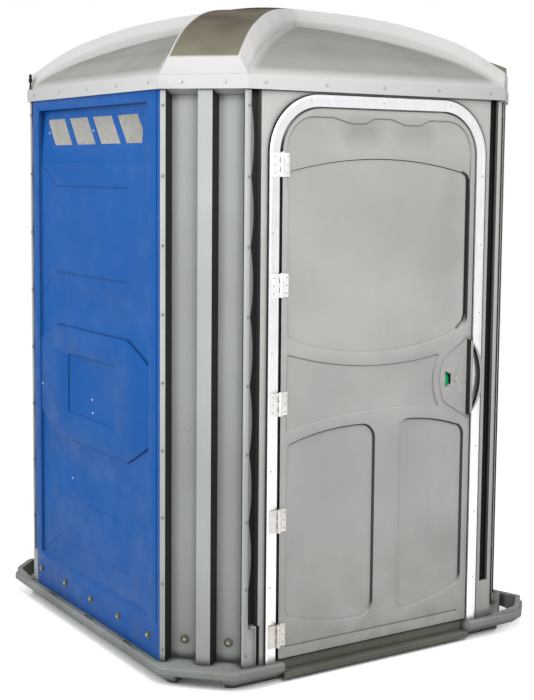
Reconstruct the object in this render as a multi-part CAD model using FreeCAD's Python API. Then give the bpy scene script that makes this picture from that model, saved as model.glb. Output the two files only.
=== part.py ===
import FreeCAD, Part
import math
import os

# Portable toilet cabin, enlarged type. Millimetres, +Z up, origin on the ground under the middle.
# The door is in the -Y wall. The left wall is at -X. Level 0 of a wall is its outer face.

os.makedirs("parts", exist_ok=True)

V = FreeCAD.Vector
ROOT2 = math.sqrt(2.0)

# Plan and heights
wall_half = 765.0
corner_leg = 212.0
ledge_z = 70.0
wall_top_z = 2045.0
running_gap = 0.3
seat_gap = 1.0
corner_vertex = wall_half - corner_leg
corner_face = corner_leg * ROOT2
corner_reach = (2 * wall_half - corner_leg) / ROOT2

# Tray base
rim_half = wall_half + 30.0
rim_foot_half = rim_half - 53.0
rim_turn_z = 46.0
rim_round = 9.0
plain_corner_reach = corner_reach + 58.0
loop_corner_reach = corner_reach + 120.0
loop_bar = 28.0
loop_top_rise = 20.0
deck_skin = 8.0
runner_count = 7
runner_wide = 44.0
channel_wide = 156.0
rim_corner_round = 40.0
loop_corner_round = 36.0
loop_hole_round = 24.0
loop_wall_gap = 8.0
rim_wall = 30.0
channel_corner_cut = 60.0
tow_notch_wide = 172.0
tow_notch_high = 40.0
tow_notch_deep = 150.0
ledge_slot_long = 64.0
ledge_slot_wide = 13.0
ledge_slot_deep = 14.0
ledge_slot_pitch = 327.0
ledge_slot_gap = 2.0

# Sill plate in the rim's gap under the door
sill_seat_z = 26.0
sill_end_inset = 10.0
sill_end_gap = 2.0
sill_reach_in = 20.0
sill_thick = 6.0
sill_lip_back = 4.0
sill_lip_thick = 8.0
sill_lip_drop = 12.0
sill_rib_count = 3
sill_rib_start = 20.0
sill_rib_pitch = 8.0
sill_rib_wide = 4.0
sill_rib_high = 2.0
sill_rib_end_gap = 12.0

# Corner panels, widths along the face from its outer edge
sheet = 5.0
corner_return = 8.0
corner_flange = 19.0
corner_valley_start = 27.0
corner_valley_end = 126.0
corner_rib_start = 130.0
corner_rib_end = 180.0
corner_second_valley = 190.0
corner_valley_stop = corner_face - 24.8
corner_lip_start = corner_face - 9.8
corner_tuck = 17.0
corner_depth = 50.0
corner_head_fall = 18.0
wall_end_cut = 10.0
wall_end_level = 18.0
front_flange_narrow = 15.0
front_flange_bulge = 10.0
front_foot_wide = 44.0
front_foot_top_z = 206.0
flange_room = 2.0
flange_screw_first_z = 112.0
flange_screw_count = 9
flange_screw_last_z = wall_top_z - 69.0
flange_screw_pitch = (flange_screw_last_z - flange_screw_first_z) / (flange_screw_count - 1)
flange_screw_r = 5.0
flange_screw_high = 3.0

# Blue wall panels
panel_deep = 34.0
field_half = corner_vertex - 83.0
field_bottom_z = 200.0
field_top_z = wall_top_z - 54.0
field_deep = 10.0
field_draft = 9.0
field_round = 24.0
panel_skin = 6.0
edge_line_at = corner_vertex - 24.0
edge_line_wide = 6.0
edge_line_deep = 2.5
relief_half = field_half - 167.0
relief_high = 7.0
relief_back_inset = 12.0
plateau_inset = 5.0
plateau_end_heights = (803.0, 1089.0)
plateau_middle_heights = (720.0, 1160.0)
tray_half = 205.0
tray_heights = (828.0, 1055.0)
tray_deep = 3.0
tray_round = 10.0
vent_bay_bottom_z = field_top_z - 206.0
upper_relief_drops = (524.0, 422.0, 90.0, 4.0)
lower_relief_rises = (17.0, 115.0, 295.0, 390.0)
vent_bay_left_inset = 6.0
vent_bay_right_inset = 18.0
vent_bay_deep = 26.0
vent_count = 4
vent_high = 101.0
vent_bottom_z = field_top_z - 136.0
vent_lean = 90.0
vent_gap = 47.0
vent_first_x = -field_half + 40.0
vent_row_long = 2 * field_half - 77.0
vent_wide = (vent_row_long - vent_lean - (vent_count - 1) * vent_gap) / vent_count
vent_pitch = vent_wide + vent_gap
vent_limit_left = -field_half + 50.0
vent_limit_right = field_half - 77.0
grille_thick = 3.0
grille_border = 8.0
grille_slot_pitch = 11.0
grille_slot_high = 5.0

# Front panel and doorway
front_deep = 30.0
frame_left_x = -corner_vertex + 83.0
frame_right_x = corner_vertex - 79.0
frame_top_z = wall_top_z - 25.0
frame_round = 200.0
frame_wide = 40.0
frame_proud = 7.0
frame_wall = 4.0
frame_stop_thick = 2.0
bead_outer_inset = 6.0
bead_inner_inset = 11.0
bead_high = 1.5
frame_rivet_shift = 5.0
right_rivet_first_z = 237.0
right_rivet_count = 7
right_rivet_pitch = (frame_top_z - 271.0 - right_rivet_first_z) / (right_rivet_count - 1)
left_rivet_first_z = 340.0
left_rivet_count = 4
left_rivet_pitch = (frame_top_z - 465.0 - left_rivet_first_z) / (left_rivet_count - 1)
head_rivet_pitch = (frame_right_x - frame_left_x) / 2 - 167.0
groove_outer_x = corner_vertex - 16.0
groove_inner_x = groove_outer_x - 38.0
groove_deep = 25.0
groove_bottom_z = 212.0
foot_slot_shift = 6.0
foot_slot_wide = 13.0

# Door leaf
door_left_x = frame_left_x + frame_wide + 16.0
door_right_x = frame_right_x - frame_wide - 4.0
door_bottom_z = ledge_z + 8.0
door_head_gap = 6.0
door_head_z = frame_top_z - frame_wide - door_head_gap
outer_skin = 16.0
inner_skin = 12.0
panel_recess = 10.0
shallow_recess = 5.0
recess_draft = 6.0
kick_line_rises = (38.0, 43.0)
kick_line_deep = 3.0
kick_line_left_inset = 28.0
kick_line_right_inset = 42.0
inner_border = 30.0
inner_pocket = 7.0
inner_recess_heights = ((170.0, 820.0), (1200.0, door_head_z - 114.0))
inner_recess_left_inset = 60.0
inner_recess_right_inset = 120.0
inner_recess_round = 40.0
inner_recess_deep = 6.0
latch_x = door_right_x - 75.0
latch_z = 1004.0
lock_block_heights = (latch_z - 164.0, latch_z + 166.0)
notch_heights = (latch_z - 116.0, latch_z + 126.0)
stop_edge_margin = 2.0
stop_overlap = 12.0
stop_face_gap = 2.0

# Hinges
hinge_x = door_left_x - 10.0
hinge_stand = 7.5
hinge_high = 80.0
hinge_barrel_r = 6.5
hinge_pin_r = 3.0
hinge_leaf_thick = 3.0
hinge_leaf_wide = 38.0
door_leaf_wide = 36.0
door_leaf_bend = 3.0
leaf_gap = 1.0
leaf_rivet_shares = (0.16, 0.5, 0.84)
frame_leaf_rivet_inset = 9.0
door_leaf_rivet_inset = 8.0
pin_head_r = 5.0
pin_head_high = 3.0
knuckle_count = 5
knuckle_gap = 0.5
hinge_first_z = door_bottom_z + 47.0
hinge_count = 5
hinge_pitch = (door_head_z - 231.0 - hinge_first_z) / (hinge_count - 1)
rivet_r = 3.5
rivet_high = 2.0

# Latch
spindle_r = 4.0
spindle_tail = 4.0
key_head_r = 10.0
key_head_high = 5.0
key_slot_deep = 2.0
key_slot_wide = 2.4
disc_r = 54.0
disc_thick = 3.0
disc_room = 1.5
disc_back_gap = 1.0
disc_front_gap = 1.0
window_left_x = latch_x - 49.0
window_right_x = latch_x - 21.0
window_left_high = 62.0
window_right_high = 36.0
crank_r = 14.0
crank_pin_r = 3.0
crank_slack = 0.8
crank_rim = 5.0
crank_thick = 4.0
crank_gap = 1.0
bolt_high = 30.0
bolt_thick = 6.0
bolt_nose = 2.0
bolt_chamfer = 1.5
bolt_stop_gap = 2.5
bolt_guide_gap = 0.5
bolt_window_room = 1.5
case_deep = 26.0
case_wall = 3.0
case_reach = 56.0
case_tail = 40.0
case_half_high = 38.0
case_round = 8.0
knob_r = 21.0
knob_gap = 1.0
knob_rose_high = 8.0
knob_rose_round = 2.5
knob_grip_sunk = 1.0
knob_grip_half_wide = 6.0
knob_grip_half_high = 26.0
knob_grip_round = 5.0
knob_deep = 24.0
strike_half_high = 45.0
strike_thick = 1.5

# Pull handle
pad_thick = 4.0
pad_edge_inset = 6.0
pad_rises = (-154.0, -82.0, -2.0, 78.0, 161.0)
pad_corner_x = latch_x - 53.0
pad_middle_x = latch_x - 71.0
grip_thick = 15.0
grip_reach_x = frame_right_x - 6.0
grip_top_z = latch_z + 146.0
grip_bottom_z = latch_z - 136.0
grip_band = 15.0
grip_inner_x = door_right_x - 12.0
grip_root = 12.0
grip_end = 22.0
neck_margin = 2.0
grip_over_frame = 7.0

# Roof
skirt_thick = 10.0
skirt_bottom_z = wall_top_z - 15.0
skirt_top_z = wall_top_z + 32.0
roof_skin = 4.0
roof_inset = 2.0
skirt_round = 4.0
crown_z = skirt_top_z + 312.0
hip_half = 122.0
hip_side_run = 28.0
hip_side_drop = 52.0
hip_end_z = skirt_top_z + 55.0
vault_crown_z = skirt_top_z + 253.0
roof_screw_r = 6.0
roof_screw_high = 3.0
roof_screws_per_side = 5
roof_screw_pitch = (2 * corner_vertex - 126.0) / (roof_screws_per_side - 1)
roof_screws_per_corner = 2

# Base bolts
base_bolt_z = ledge_z + 70.0
base_bolts_per_side = 5
base_bolt_pitch = (2 * field_half - 4.0) / (base_bolts_per_side - 1)
base_bolt_across_r = 9.0
base_bolt_high = 7.0
washer_r = 15.0
washer_thick = 2.5
corner_bolt_at = (
    (corner_valley_start + corner_valley_end) / 2, (corner_second_valley + corner_valley_stop) / 2)

# Inside
floor_thick = 6.0
floor_round = 20.0
floor_side_step = 10.0
tread_columns = 11
tread_rows = 6
tread_pitch = 110.0
tread_half = 35.0
tread_high = 2.0
tread_middle_y = -230.0
tank_side_gap = 6.0
tank_back = wall_half - panel_deep - tank_side_gap
tank_left_x = tank_back - 685.0
tank_front_y = tank_back - 535.0
tank_top_z = 430.0
tank_wall = 7.0
tank_taper = 14.0
tank_front_round = 70.0
tank_side_round = 12.0
tank_back_round = 30.0
tank_rim_round = 10.0
collar_wide = 14.0
collar_high = 8.0
seat_x = tank_left_x + 290.0
seat_y = tank_front_y + 210.0
hole_half_wide = 105.0
hole_half_long = 140.0
seat_rim = 72.0
oval_end_share = 0.7
seat_thick = 22.0
seat_round = 8.0
seat_end_trim = 16.0
seat_lip_wide = 6.0
seat_lip_long = 8.0
seat_over_collar = 2.0
lid_thick = 14.0
lid_round = 9.0
lid_bridge_drop = 6.0
lid_open_deg = 100.0
seat_pin_r = 5.0
seat_pin_back = 14.0
seat_lug_r = 11.0
lug_start = 70.0
lug_wide = 16.0
lug_gap = 1.0
bridge_gap = 6.0
bridge_root = 12.0
bracket_front = 10.0
bracket_back = 12.0
stack_r = 55.0
stack_wall = 4.0
stack_wall_gap = 16.0
stack_top_z = vault_crown_z
stack_collar_wide = 12.0
stack_collar_high = 12.0
clip_heights = (900.0, 1500.0)
clip_high = 30.0
clip_thick = 5.0
clip_foot_half = 22.0
cap_r = 78.0
cap_high = 46.0
cap_lift = 18.0
rail_r = 16.0
rail_off_wall = 58.0
rail_z = 860.0
rail_bend = 34.0
rail_flange_r = 38.0
rail_flange_thick = 6.0
right_rail_span = (-180.0, 380.0)
back_rail_span = (-420.0, 60.0)
left_rail_span = (-320.0, 420.0)
roll_r = 58.0
roll_core_r = 20.0
roll_long = 100.0
roll_gap = 6.0
roll_wall_room = 22.0
holder_thick = 6.0
holder_end = 12.0
holder_half_high = 80.0
holder_arm_thick = 8.0
holder_arm_half = 26.0
holder_arm_root_half = 60.0
hood_thick = 4.0
hood_room = 4.0
spindle_end_r = 8.0
spindle_end_room = 2.0
roll_z = 680.0
roll_y = -40.0
hook_bottom_z = 1170.0
hook_plate_thick = 3.0
hook_plate_half = 20.0
hook_plate_high = 80.0
hook_arm_half = 6.0
stud_high = 62.0
stud_shank_r = 3.5
stud_head_r = 8.0

front_y = -wall_half
front_back_y = front_y + front_deep
door_face_y = front_y
skin_joint_y = door_face_y + outer_skin
door_back_y = skin_joint_y + inner_skin
frame_face_y = front_y - frame_proud
bead_face_y = frame_face_y - bead_high
hinge_y = frame_face_y - hinge_stand
stop_y = door_back_y + stop_face_gap
bolt_travel = crank_r * ROOT2
floor_z = ledge_z + floor_thick
inner_half = wall_half - panel_deep
lining_half = wall_half - field_deep - panel_skin
valley_reach = corner_reach - corner_depth - sheet
stack_at = (valley_reach - stack_wall_gap - stack_r) / ROOT2
wall_start = corner_tuck - corner_vertex


def block(x0, x1, y0, y1, z0, z1):
    return Part.makeBox(x1 - x0, y1 - y0, z1 - z0, V(x0, y0, z0))


def rod(radius, start, end):
    axis = end - start
    return Part.makeCylinder(radius, axis.Length, start, axis)


def fuse(shapes):
    return shapes[0].multiFuse(shapes[1:]).removeSplitter()


def mirrored_x(shape):
    return shape.mirror(V(0, 0, 0), V(1, 0, 0))


def mirrored_y(shape):
    return shape.mirror(V(0, 0, 0), V(0, 1, 0))


def turned(shape, degrees):
    copy = shape.copy()
    copy.rotate(V(0, 0, 0), V(0, 0, 1), degrees)
    return copy


def in_plan(z):
    return lambda point: V(point.x, point.y, z)


def upright(y):
    return lambda point: V(point.x, y, point.y)


def sideways(x):
    return lambda point: V(x, point.x, point.y)


def rounded_wire(corners, radii, place):
    points = [V(a, b, 0) for a, b in corners]
    bends = []
    for index, here in enumerate(points):
        back = (points[index - 1] - here).normalize()
        ahead = (points[(index + 1) % len(points)] - here).normalize()
        half_angle = back.getAngle(ahead) / 2
        radius = radii[index]
        reach = radius / math.tan(half_angle)
        middle = here + (back + ahead).normalize() * (radius / math.sin(half_angle) - radius)
        bends.append((here + back * reach, middle, here + ahead * reach))
    edges = []
    for index, (start, middle, end) in enumerate(bends):
        following = bends[(index + 1) % len(bends)][0]
        if radii[index] > 0:
            edges.append(Part.Arc(place(start), place(middle), place(end)).toShape())
        if (following - end).Length > 1e-6:
            edges.append(Part.LineSegment(place(end), place(following)).toShape())
    return Part.Wire(edges)


def polygon_wire(corners, place):
    points = [place(V(a, b, 0)) for a, b in corners]
    return Part.makePolygon(points + points[:1])


def plan_plate(corners, z0, z1, radius=0.0):
    wire = rounded_wire(corners, [radius] * len(corners), in_plan(z0))
    return Part.Face(wire).extrude(V(0, 0, z1 - z0))


def upright_plate(corners, y0, y1, radii=None):
    radii = radii or [0.0] * len(corners)
    wire = rounded_wire(corners, radii, upright(y0))
    return Part.Face(wire).extrude(V(0, y1 - y0, 0))


def side_plate(corners, x0, x1, radii=None):
    radii = radii or [0.0] * len(corners)
    wire = rounded_wire(corners, radii, sideways(x0))
    return Part.Face(wire).extrude(V(x1 - x0, 0, 0))


def drafted(recess):
    mouth = min(recess.Faces, key=lambda face: face.BoundBox.YMax)
    deep = recess.BoundBox.YLength
    floor = mouth.makeOffset2D(-min(recess_draft, deep), 2).Wires[0]
    floor.translate(V(0, deep, 0))
    return Part.makeLoft([mouth.OuterWire, floor], True, True)


def curve_plate(strokes, y0, y1):
    edges = []
    for stroke in strokes:
        points = [V(a, y0, b) for a, b in stroke]
        if len(points) == 2:
            edges.append(Part.LineSegment(points[0], points[1]).toShape())
        else:
            edges.append(Part.Arc(points[0], points[1], points[2]).toShape())
    return Part.Face(Part.Wire(edges)).extrude(V(0, y1 - y0, 0))


def cut_square(offset, half=wall_half, reach=None):
    side = half + offset
    leg = 2 * side - reach * ROOT2 if reach else corner_leg + offset * (2 - ROOT2)
    return [
        (-side, leg - side),
        (leg - side, -side),
        (side - leg, -side),
        (side, leg - side),
        (side, side - leg),
        (side - leg, side),
        (leg - side, side),
        (-side, side - leg),
    ]


def hexagon_head(radius, high, base, direction):
    turns = [math.radians(60 * k) for k in range(6)]
    points = [V(radius * math.cos(turn), radius * math.sin(turn), 0) for turn in turns]
    head = Part.Face(Part.makePolygon(points + points[:1])).extrude(V(0, 0, high))
    head.Placement = FreeCAD.Placement(base, FreeCAD.Rotation(V(0, 0, 1), direction))
    return head


def screw_heights():
    return [flange_screw_first_z + k * flange_screw_pitch for k in range(flange_screw_count)]


def spread(count, pitch):
    return [(k - (count - 1) / 2) * pitch for k in range(count)]


# Tray base: rounded rim, deck on runners, two corners drawn out into tow loops

def rim_outline(half, inward):
    plain = (plain_corner_reach - inward) * ROOT2
    loop = (loop_corner_reach - inward) * ROOT2
    return [
        (-half, half - plain),
        (half - plain, -half),
        (loop - half, -half),
        (half, half - loop),
        (half, plain - half),
        (plain - half, half),
        (half - loop, half),
        (-half, loop - half),
    ]


def rim_wire(half, inward, radius, z):
    return rounded_wire(rim_outline(half, inward), [radius] * 8, in_plan(z))


def rim_body():
    foot = rim_wire(rim_foot_half, rim_half - rim_foot_half, rim_corner_round, 0.0)
    turn = rim_wire(rim_half, 0.0, rim_corner_round, rim_turn_z)
    lower = Part.makeLoft([foot, turn], True, True)
    upper = Part.Face(turn).extrude(V(0, 0, ledge_z - rim_turn_z))
    top_edges = [edge for edge in upper.Edges if edge.BoundBox.ZMin > ledge_z - seat_gap]
    return lower.fuse(upper.makeFillet(rim_round, top_edges)).removeSplitter()


def loop_rise():
    band = Part.Face(rim_wire(rim_half - rim_round, rim_round, loop_corner_round, rim_turn_z))
    band = band.extrude(V(0, 0, ledge_z)).cut(plan_plate(cut_square(loop_wall_gap), 0.0, 3 * ledge_z))
    run = loop_corner_reach - corner_reach
    slope = [
        (corner_reach, 0), (loop_corner_reach, 0), (loop_corner_reach, ledge_z + loop_top_rise),
        (corner_reach, ledge_z)]
    wedge = Part.Face(polygon_wire(slope, upright(-run * 2))).extrude(V(0, run * 4, 0))
    return band.common(fuse([turned(wedge, -45), turned(wedge, 135)]))


def loop_hole():
    inner = Part.Face(rim_wire(rim_half - loop_bar, loop_bar, loop_hole_round, -seat_gap))
    far = block(corner_reach + loop_bar, 2 * wall_half, -wall_half, wall_half, -ledge_z, 3 * ledge_z)
    return inner.extrude(V(0, 0, 2 * ledge_z)).common(fuse([turned(far, -45), turned(far, 135)]))


def base_skid():
    body = rim_body().fuse(loop_rise())
    tools = [loop_hole()]
    pocket_half = rim_foot_half - rim_wall
    limit = plan_plate(cut_square(-channel_corner_cut), 0.0, ledge_z)
    for k in range(-1, runner_count):
        x0 = (k - (runner_count - 1) / 2) * (runner_wide + channel_wide) + runner_wide / 2
        channel = block(x0, x0 + channel_wide, -pocket_half, pocket_half, 0.0, ledge_z - deck_skin)
        tools.append(channel.common(limit))
    notch = block(
        plain_corner_reach - tow_notch_deep, plain_corner_reach + rim_round,
        -tow_notch_wide / 2, tow_notch_wide / 2, 0.0, tow_notch_high)
    tools += [turned(notch, -135), turned(notch, 45)]
    for side in (-1, 1):
        edge = side * (wall_half + ledge_slot_gap + ledge_slot_wide / 2)
        for k in (-1, 0, 1):
            middle = k * ledge_slot_pitch
            tools.append(block(
                edge - ledge_slot_wide / 2, edge + ledge_slot_wide / 2,
                middle - ledge_slot_long / 2, middle + ledge_slot_long / 2,
                ledge_z - ledge_slot_deep, ledge_z))
    tools.append(block(
        door_left_x + sill_end_inset, door_right_x, -2 * wall_half, front_y + sill_reach_in,
        sill_seat_z, 3 * ledge_z))
    return body.cut(fuse(tools)).removeSplitter()


def sill_plate():
    left = door_left_x + sill_end_inset + sill_end_gap
    right = door_right_x - sill_end_gap
    front = -rim_half + sill_lip_back
    back = front_y + sill_reach_in
    top = sill_seat_z + sill_thick
    tread = block(left, right, front + sill_lip_thick, back, sill_seat_z, top)
    lip = block(left, right, front, front + sill_lip_thick, sill_seat_z - sill_lip_drop, top)
    riser = block(left, right, back - sill_thick, back, top, ledge_z)
    ribs = []
    for k in range(sill_rib_count):
        y = -rim_half + sill_rib_start + k * sill_rib_pitch
        ribs.append(block(
            left + sill_rib_end_gap, right - sill_rib_end_gap, y, y + sill_rib_wide,
            top, top + sill_rib_high))
    return fuse([tread, lip, riser] + ribs)


# Corner panels: one formed sheet with a flange, two valleys and a rib between them

def sheet_outline(points, thickness):
    runs = [(after - before).normalize() for before, after in zip(points[:-1], points[1:])]
    sides = [V(-run.y, run.x, 0) for run in runs]
    inner = [points[0] + sides[0] * thickness]
    for here, before, after in zip(points[1:-1], sides[:-1], sides[1:]):
        bisector = (before + after).normalize()
        inner.append(here + bisector * (thickness / bisector.dot(before)))
    inner.append(points[-1] + sides[-1] * thickness)
    return points + inner[::-1]


def corner_profile():
    points = [
        (corner_return, corner_return),
        (0.0, 0.0),
        (corner_flange, 0.0),
        (corner_valley_start, corner_depth),
        (corner_valley_end, corner_depth),
        (corner_rib_start, 0.0),
        (corner_rib_end, 0.0),
        (corner_second_valley, corner_depth),
        (corner_valley_stop, corner_depth),
        (corner_lip_start, 0.0),
        (corner_face, 0.0),
    ]
    return [V(a, b, 0) for a, b in points]


def scalloped_flange():
    x0 = -corner_vertex
    narrow = x0 + front_flange_narrow
    heights = [z for z in screw_heights() if z > front_foot_top_z] + [wall_top_z]
    strokes = [((x0, ledge_z), (x0 + front_foot_wide, ledge_z))]
    strokes.append(((x0 + front_foot_wide, ledge_z), (x0 + front_foot_wide, front_foot_top_z)))
    strokes.append(((x0 + front_foot_wide, front_foot_top_z), (narrow, front_foot_top_z)))
    strokes.append(((narrow, front_foot_top_z), (narrow, heights[0])))
    for low, high in zip(heights[:-1], heights[1:]):
        bulge = front_flange_bulge * ((high - low) / flange_screw_pitch) ** 2
        strokes.append(((narrow, low), (narrow + bulge, (low + high) / 2), (narrow, high)))
    strokes.append(((narrow, wall_top_z), (x0, wall_top_z)))
    strokes.append(((x0, wall_top_z), (x0, ledge_z)))
    return curve_plate(strokes, front_y, front_y + sheet)


def valley_head():
    back = corner_depth + sheet
    low = skirt_bottom_z - corner_head_fall
    section = [
        (0.0, wall_top_z), (0.0, skirt_bottom_z), (corner_depth, low), (back, low), (back, low + sheet),
        (sheet, skirt_bottom_z + sheet), (sheet, wall_top_z)]
    valleys = [
        (corner_flange, 0.0), (corner_lip_start, 0.0), (corner_valley_stop, corner_depth),
        (corner_valley_stop, back), (corner_valley_start, back), (corner_valley_start, corner_depth)]
    return side_plate(section, 0.0, corner_face).common(plan_plate(valleys, low, wall_top_z))


def corner_panel():
    wire = Part.makePolygon(sheet_outline(corner_profile(), sheet) + [corner_profile()[0]])
    formed = Part.Face(wire).extrude(V(0, 0, wall_top_z - ledge_z))
    formed.translate(V(0, 0, ledge_z))
    formed = fuse([formed, valley_head()])
    formed.rotate(V(0, 0, 0), V(0, 0, 1), -45)
    formed.translate(V(-wall_half, -corner_vertex, 0))
    return fuse([formed, scalloped_flange()])


# Blue wall panel, modelled in the place of the front wall and then turned to its side

def relief_heights():
    upper = [vent_bay_bottom_z - drop for drop in upper_relief_drops]
    lower = [field_bottom_z + rise for rise in lower_relief_rises]
    return upper, lower


def relief_frustum(heights, inset=0.0, shift=0.0):
    bottom_z, inner_bottom_z, inner_top_z, top_z = heights
    level = front_y + field_deep + shift
    half = field_half - inset
    low = bottom_z + inset
    high = top_z - inset
    outer = [(-half, low), (half, low), (half, high), (-half, high)]
    inner = [(-relief_half, inner_bottom_z), (relief_half, inner_bottom_z)]
    inner += [(relief_half, inner_top_z), (-relief_half, inner_top_z)]
    loft = [polygon_wire(outer, upright(level)), polygon_wire(inner, upright(level - relief_high))]
    return Part.makeLoft(loft, True, True)


def relief_plateau():
    level = front_y + field_deep
    face = level - relief_high
    half = field_half - plateau_inset
    end_low, end_high = plateau_end_heights
    low, high = plateau_middle_heights
    outline = [
        (-half, end_low), (-relief_half, low), (relief_half, low), (half, end_low),
        (half, end_high), (relief_half, high), (-relief_half, high), (-half, end_high)]
    tray_low, tray_high = tray_heights
    tray = [(-tray_half, tray_low), (tray_half, tray_low), (tray_half, tray_high), (-tray_half, tray_high)]
    plateau = upright_plate(outline, face, level)
    return plateau.cut(upright_plate(tray, face, face + tray_deep, [tray_round] * 4))


def vent_outline(index, inset):
    x0 = vent_first_x + index * vent_pitch
    lean = vent_lean / vent_high
    low = vent_bottom_z + inset
    high = vent_bottom_z + vent_high - inset
    shift_low = lean * (vent_high - inset)
    shift_high = lean * inset
    side = inset * math.sqrt(1 + lean * lean)
    return [
        (x0 + shift_low + side, low),
        (x0 + shift_low + vent_wide - side, low),
        (x0 + shift_high + vent_wide - side, high),
        (x0 + shift_high + side, high),
    ]


def vent_plate(index, inset):
    plate = upright_plate(vent_outline(index, inset), front_y, front_y + panel_deep)
    return plate.common(block(
        vent_limit_left + inset, vent_limit_right - inset, front_y, front_y + panel_deep,
        vent_bottom_z, vent_bottom_z + vent_high))


def vent_face_y(z):
    share = (z - vent_bay_bottom_z) / (field_top_z - vent_bay_bottom_z)
    return front_y + field_deep + share * (vent_bay_deep - field_deep)


def vent_bay(grow):
    low = vent_bay_bottom_z - grow
    high = field_top_z + grow
    floor_low = vent_face_y(vent_bay_bottom_z) + grow
    floor_high = vent_face_y(field_top_z) + grow
    profile = [(front_y - seat_gap, low), (floor_low, low), (floor_high, high), (front_y - seat_gap, high)]
    return side_plate(
        profile, -field_half + vent_bay_left_inset - grow, field_half - vent_bay_right_inset + grow)


def field_hollow(grow, front, back):
    face_half = field_half + grow
    floor_half = face_half - field_draft
    low = field_bottom_z - grow
    high = field_top_z + grow
    face = [(-face_half, low), (face_half, low), (face_half, high), (-face_half, high)]
    low += field_draft
    high -= field_draft
    floor = [(-floor_half, low), (floor_half, low), (floor_half, high), (-floor_half, high)]
    return Part.makeLoft([
        rounded_wire(face, [field_round + grow] * 4, upright(front)),
        rounded_wire(floor, [field_round - field_draft + grow] * 4, upright(back))], True, True)


def end_clearance():
    return block(
        corner_vertex - wall_end_cut, corner_vertex, front_y + wall_end_level, front_y + panel_deep,
        ledge_z, wall_top_z)


def flange_rebate(grow):
    left = -corner_vertex
    deep = front_y + sheet + grow
    strip = block(
        left, left + front_flange_narrow + front_flange_bulge + flange_room + grow,
        front_y, deep, ledge_z, wall_top_z)
    foot = block(left, left + front_foot_wide + grow, front_y, deep, ledge_z, front_foot_top_z + grow)
    return fuse([strip, foot])


def wall_panel():
    body = block(wall_start, corner_vertex, front_y, front_y + panel_deep, ledge_z, wall_top_z)
    field = field_hollow(0.0, front_y, front_y + field_deep)
    inside = block(
        wall_start + panel_skin, corner_vertex - panel_skin,
        front_y + panel_skin, front_y + panel_deep, ledge_z + panel_skin, wall_top_z - panel_skin)
    inside = inside.cut(field_hollow(panel_skin, front_y, front_y + field_deep + panel_skin))
    inside = inside.cut(vent_bay(panel_skin)).cut(flange_rebate(panel_skin))
    reliefs = [relief_frustum(heights) for heights in relief_heights()] + [relief_plateau()]
    body = body.cut(field).cut(inside).multiFuse([relief.common(field) for relief in reliefs])
    cuts = [vent_bay(0.0), flange_rebate(0.0), end_clearance()]
    cuts += [relief_frustum(heights, relief_back_inset, panel_skin) for heights in relief_heights()]
    for side in (-1, 1):
        x = side * edge_line_at
        cuts.append(block(
            x - edge_line_wide / 2, x + edge_line_wide / 2,
            front_y, front_y + edge_line_deep, field_bottom_z, wall_top_z))
    for index in range(vent_count):
        cuts.append(vent_plate(index, 0.0))
    return body.cut(fuse(cuts)).removeSplitter()


def vent_grilles():
    low = vent_bottom_z - grille_border
    high = vent_bottom_z + vent_high + grille_border
    front_skin = [
        (vent_face_y(low) + seat_gap, low),
        (vent_face_y(low) + seat_gap + grille_thick, low),
        (vent_face_y(high) + seat_gap + grille_thick, high),
        (vent_face_y(high) + seat_gap, high),
    ]
    sloped = side_plate(front_skin, -wall_half, wall_half)
    rows = int((vent_high - 2 * grille_border) / grille_slot_pitch)
    grilles = []
    for index in range(vent_count):
        plate = vent_plate(index, 0.0).common(sloped)
        window = vent_plate(index, grille_border)
        slots = []
        for row in range(rows):
            z = vent_bottom_z + grille_border + row * grille_slot_pitch + grille_slot_high / 2
            slots.append(block(-wall_half, wall_half, front_y, front_y + panel_deep, z, z + grille_slot_high))
        grilles.append(plate.cut(window.common(Part.makeCompound(slots))))
    return Part.makeCompound(grilles)


# Front panel and the arched doorway

def arch(left, right, bottom, top, radius, y0, y1):
    corners = [(left, bottom), (right, bottom), (right, top), (left, top)]
    return upright_plate(corners, y0, y1, [0.0, 0.0, radius, radius])


def frame_arch(inset, y0, y1, foot=ledge_z):
    return arch(
        frame_left_x + inset, frame_right_x - inset, foot, frame_top_z - inset, frame_round - inset, y0, y1)


def door_arch(grow, y0, y1, foot=door_bottom_z):
    radius = frame_round - frame_wide - door_head_gap
    return arch(door_left_x - grow, door_right_x + grow, foot, door_head_z + grow, radius + grow, y0, y1)


def front_panel():
    body = block(wall_start, corner_vertex, front_y, front_back_y, ledge_z, wall_top_z)
    doorway = frame_arch(frame_wide - frame_wall, front_y, front_back_y)
    groove_back_y = front_y + groove_deep
    groove = block(groove_inner_x, groove_outer_x, front_y, groove_back_y, groove_bottom_z, wall_top_z)
    slot_x = -groove_inner_x - foot_slot_shift
    slot = block(slot_x, slot_x + foot_slot_wide, front_y, groove_back_y, ledge_z, groove_bottom_z)
    tools = [doorway, slot, groove, mirrored_x(groove), flange_rebate(0.0), end_clearance()]
    return body.cut(fuse(tools)).removeSplitter()


def door_frame():
    face = frame_arch(0.0, frame_face_y, front_y).cut(frame_arch(frame_wide, frame_face_y, front_y))
    stop_back_y = stop_y + frame_stop_thick
    lining = frame_arch(frame_wide - frame_wall, front_y, stop_back_y)
    lining = lining.cut(frame_arch(frame_wide, front_y, stop_back_y))
    stop = frame_arch(frame_wide, stop_y, stop_back_y)
    stop = stop.cut(door_arch(-stop_overlap, stop_y, stop_back_y, ledge_z))
    bead = frame_arch(bead_outer_inset, bead_face_y, frame_face_y)
    bead = bead.cut(frame_arch(bead_inner_inset, bead_face_y, frame_face_y))
    return fuse([face, lining, stop, bead])


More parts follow.
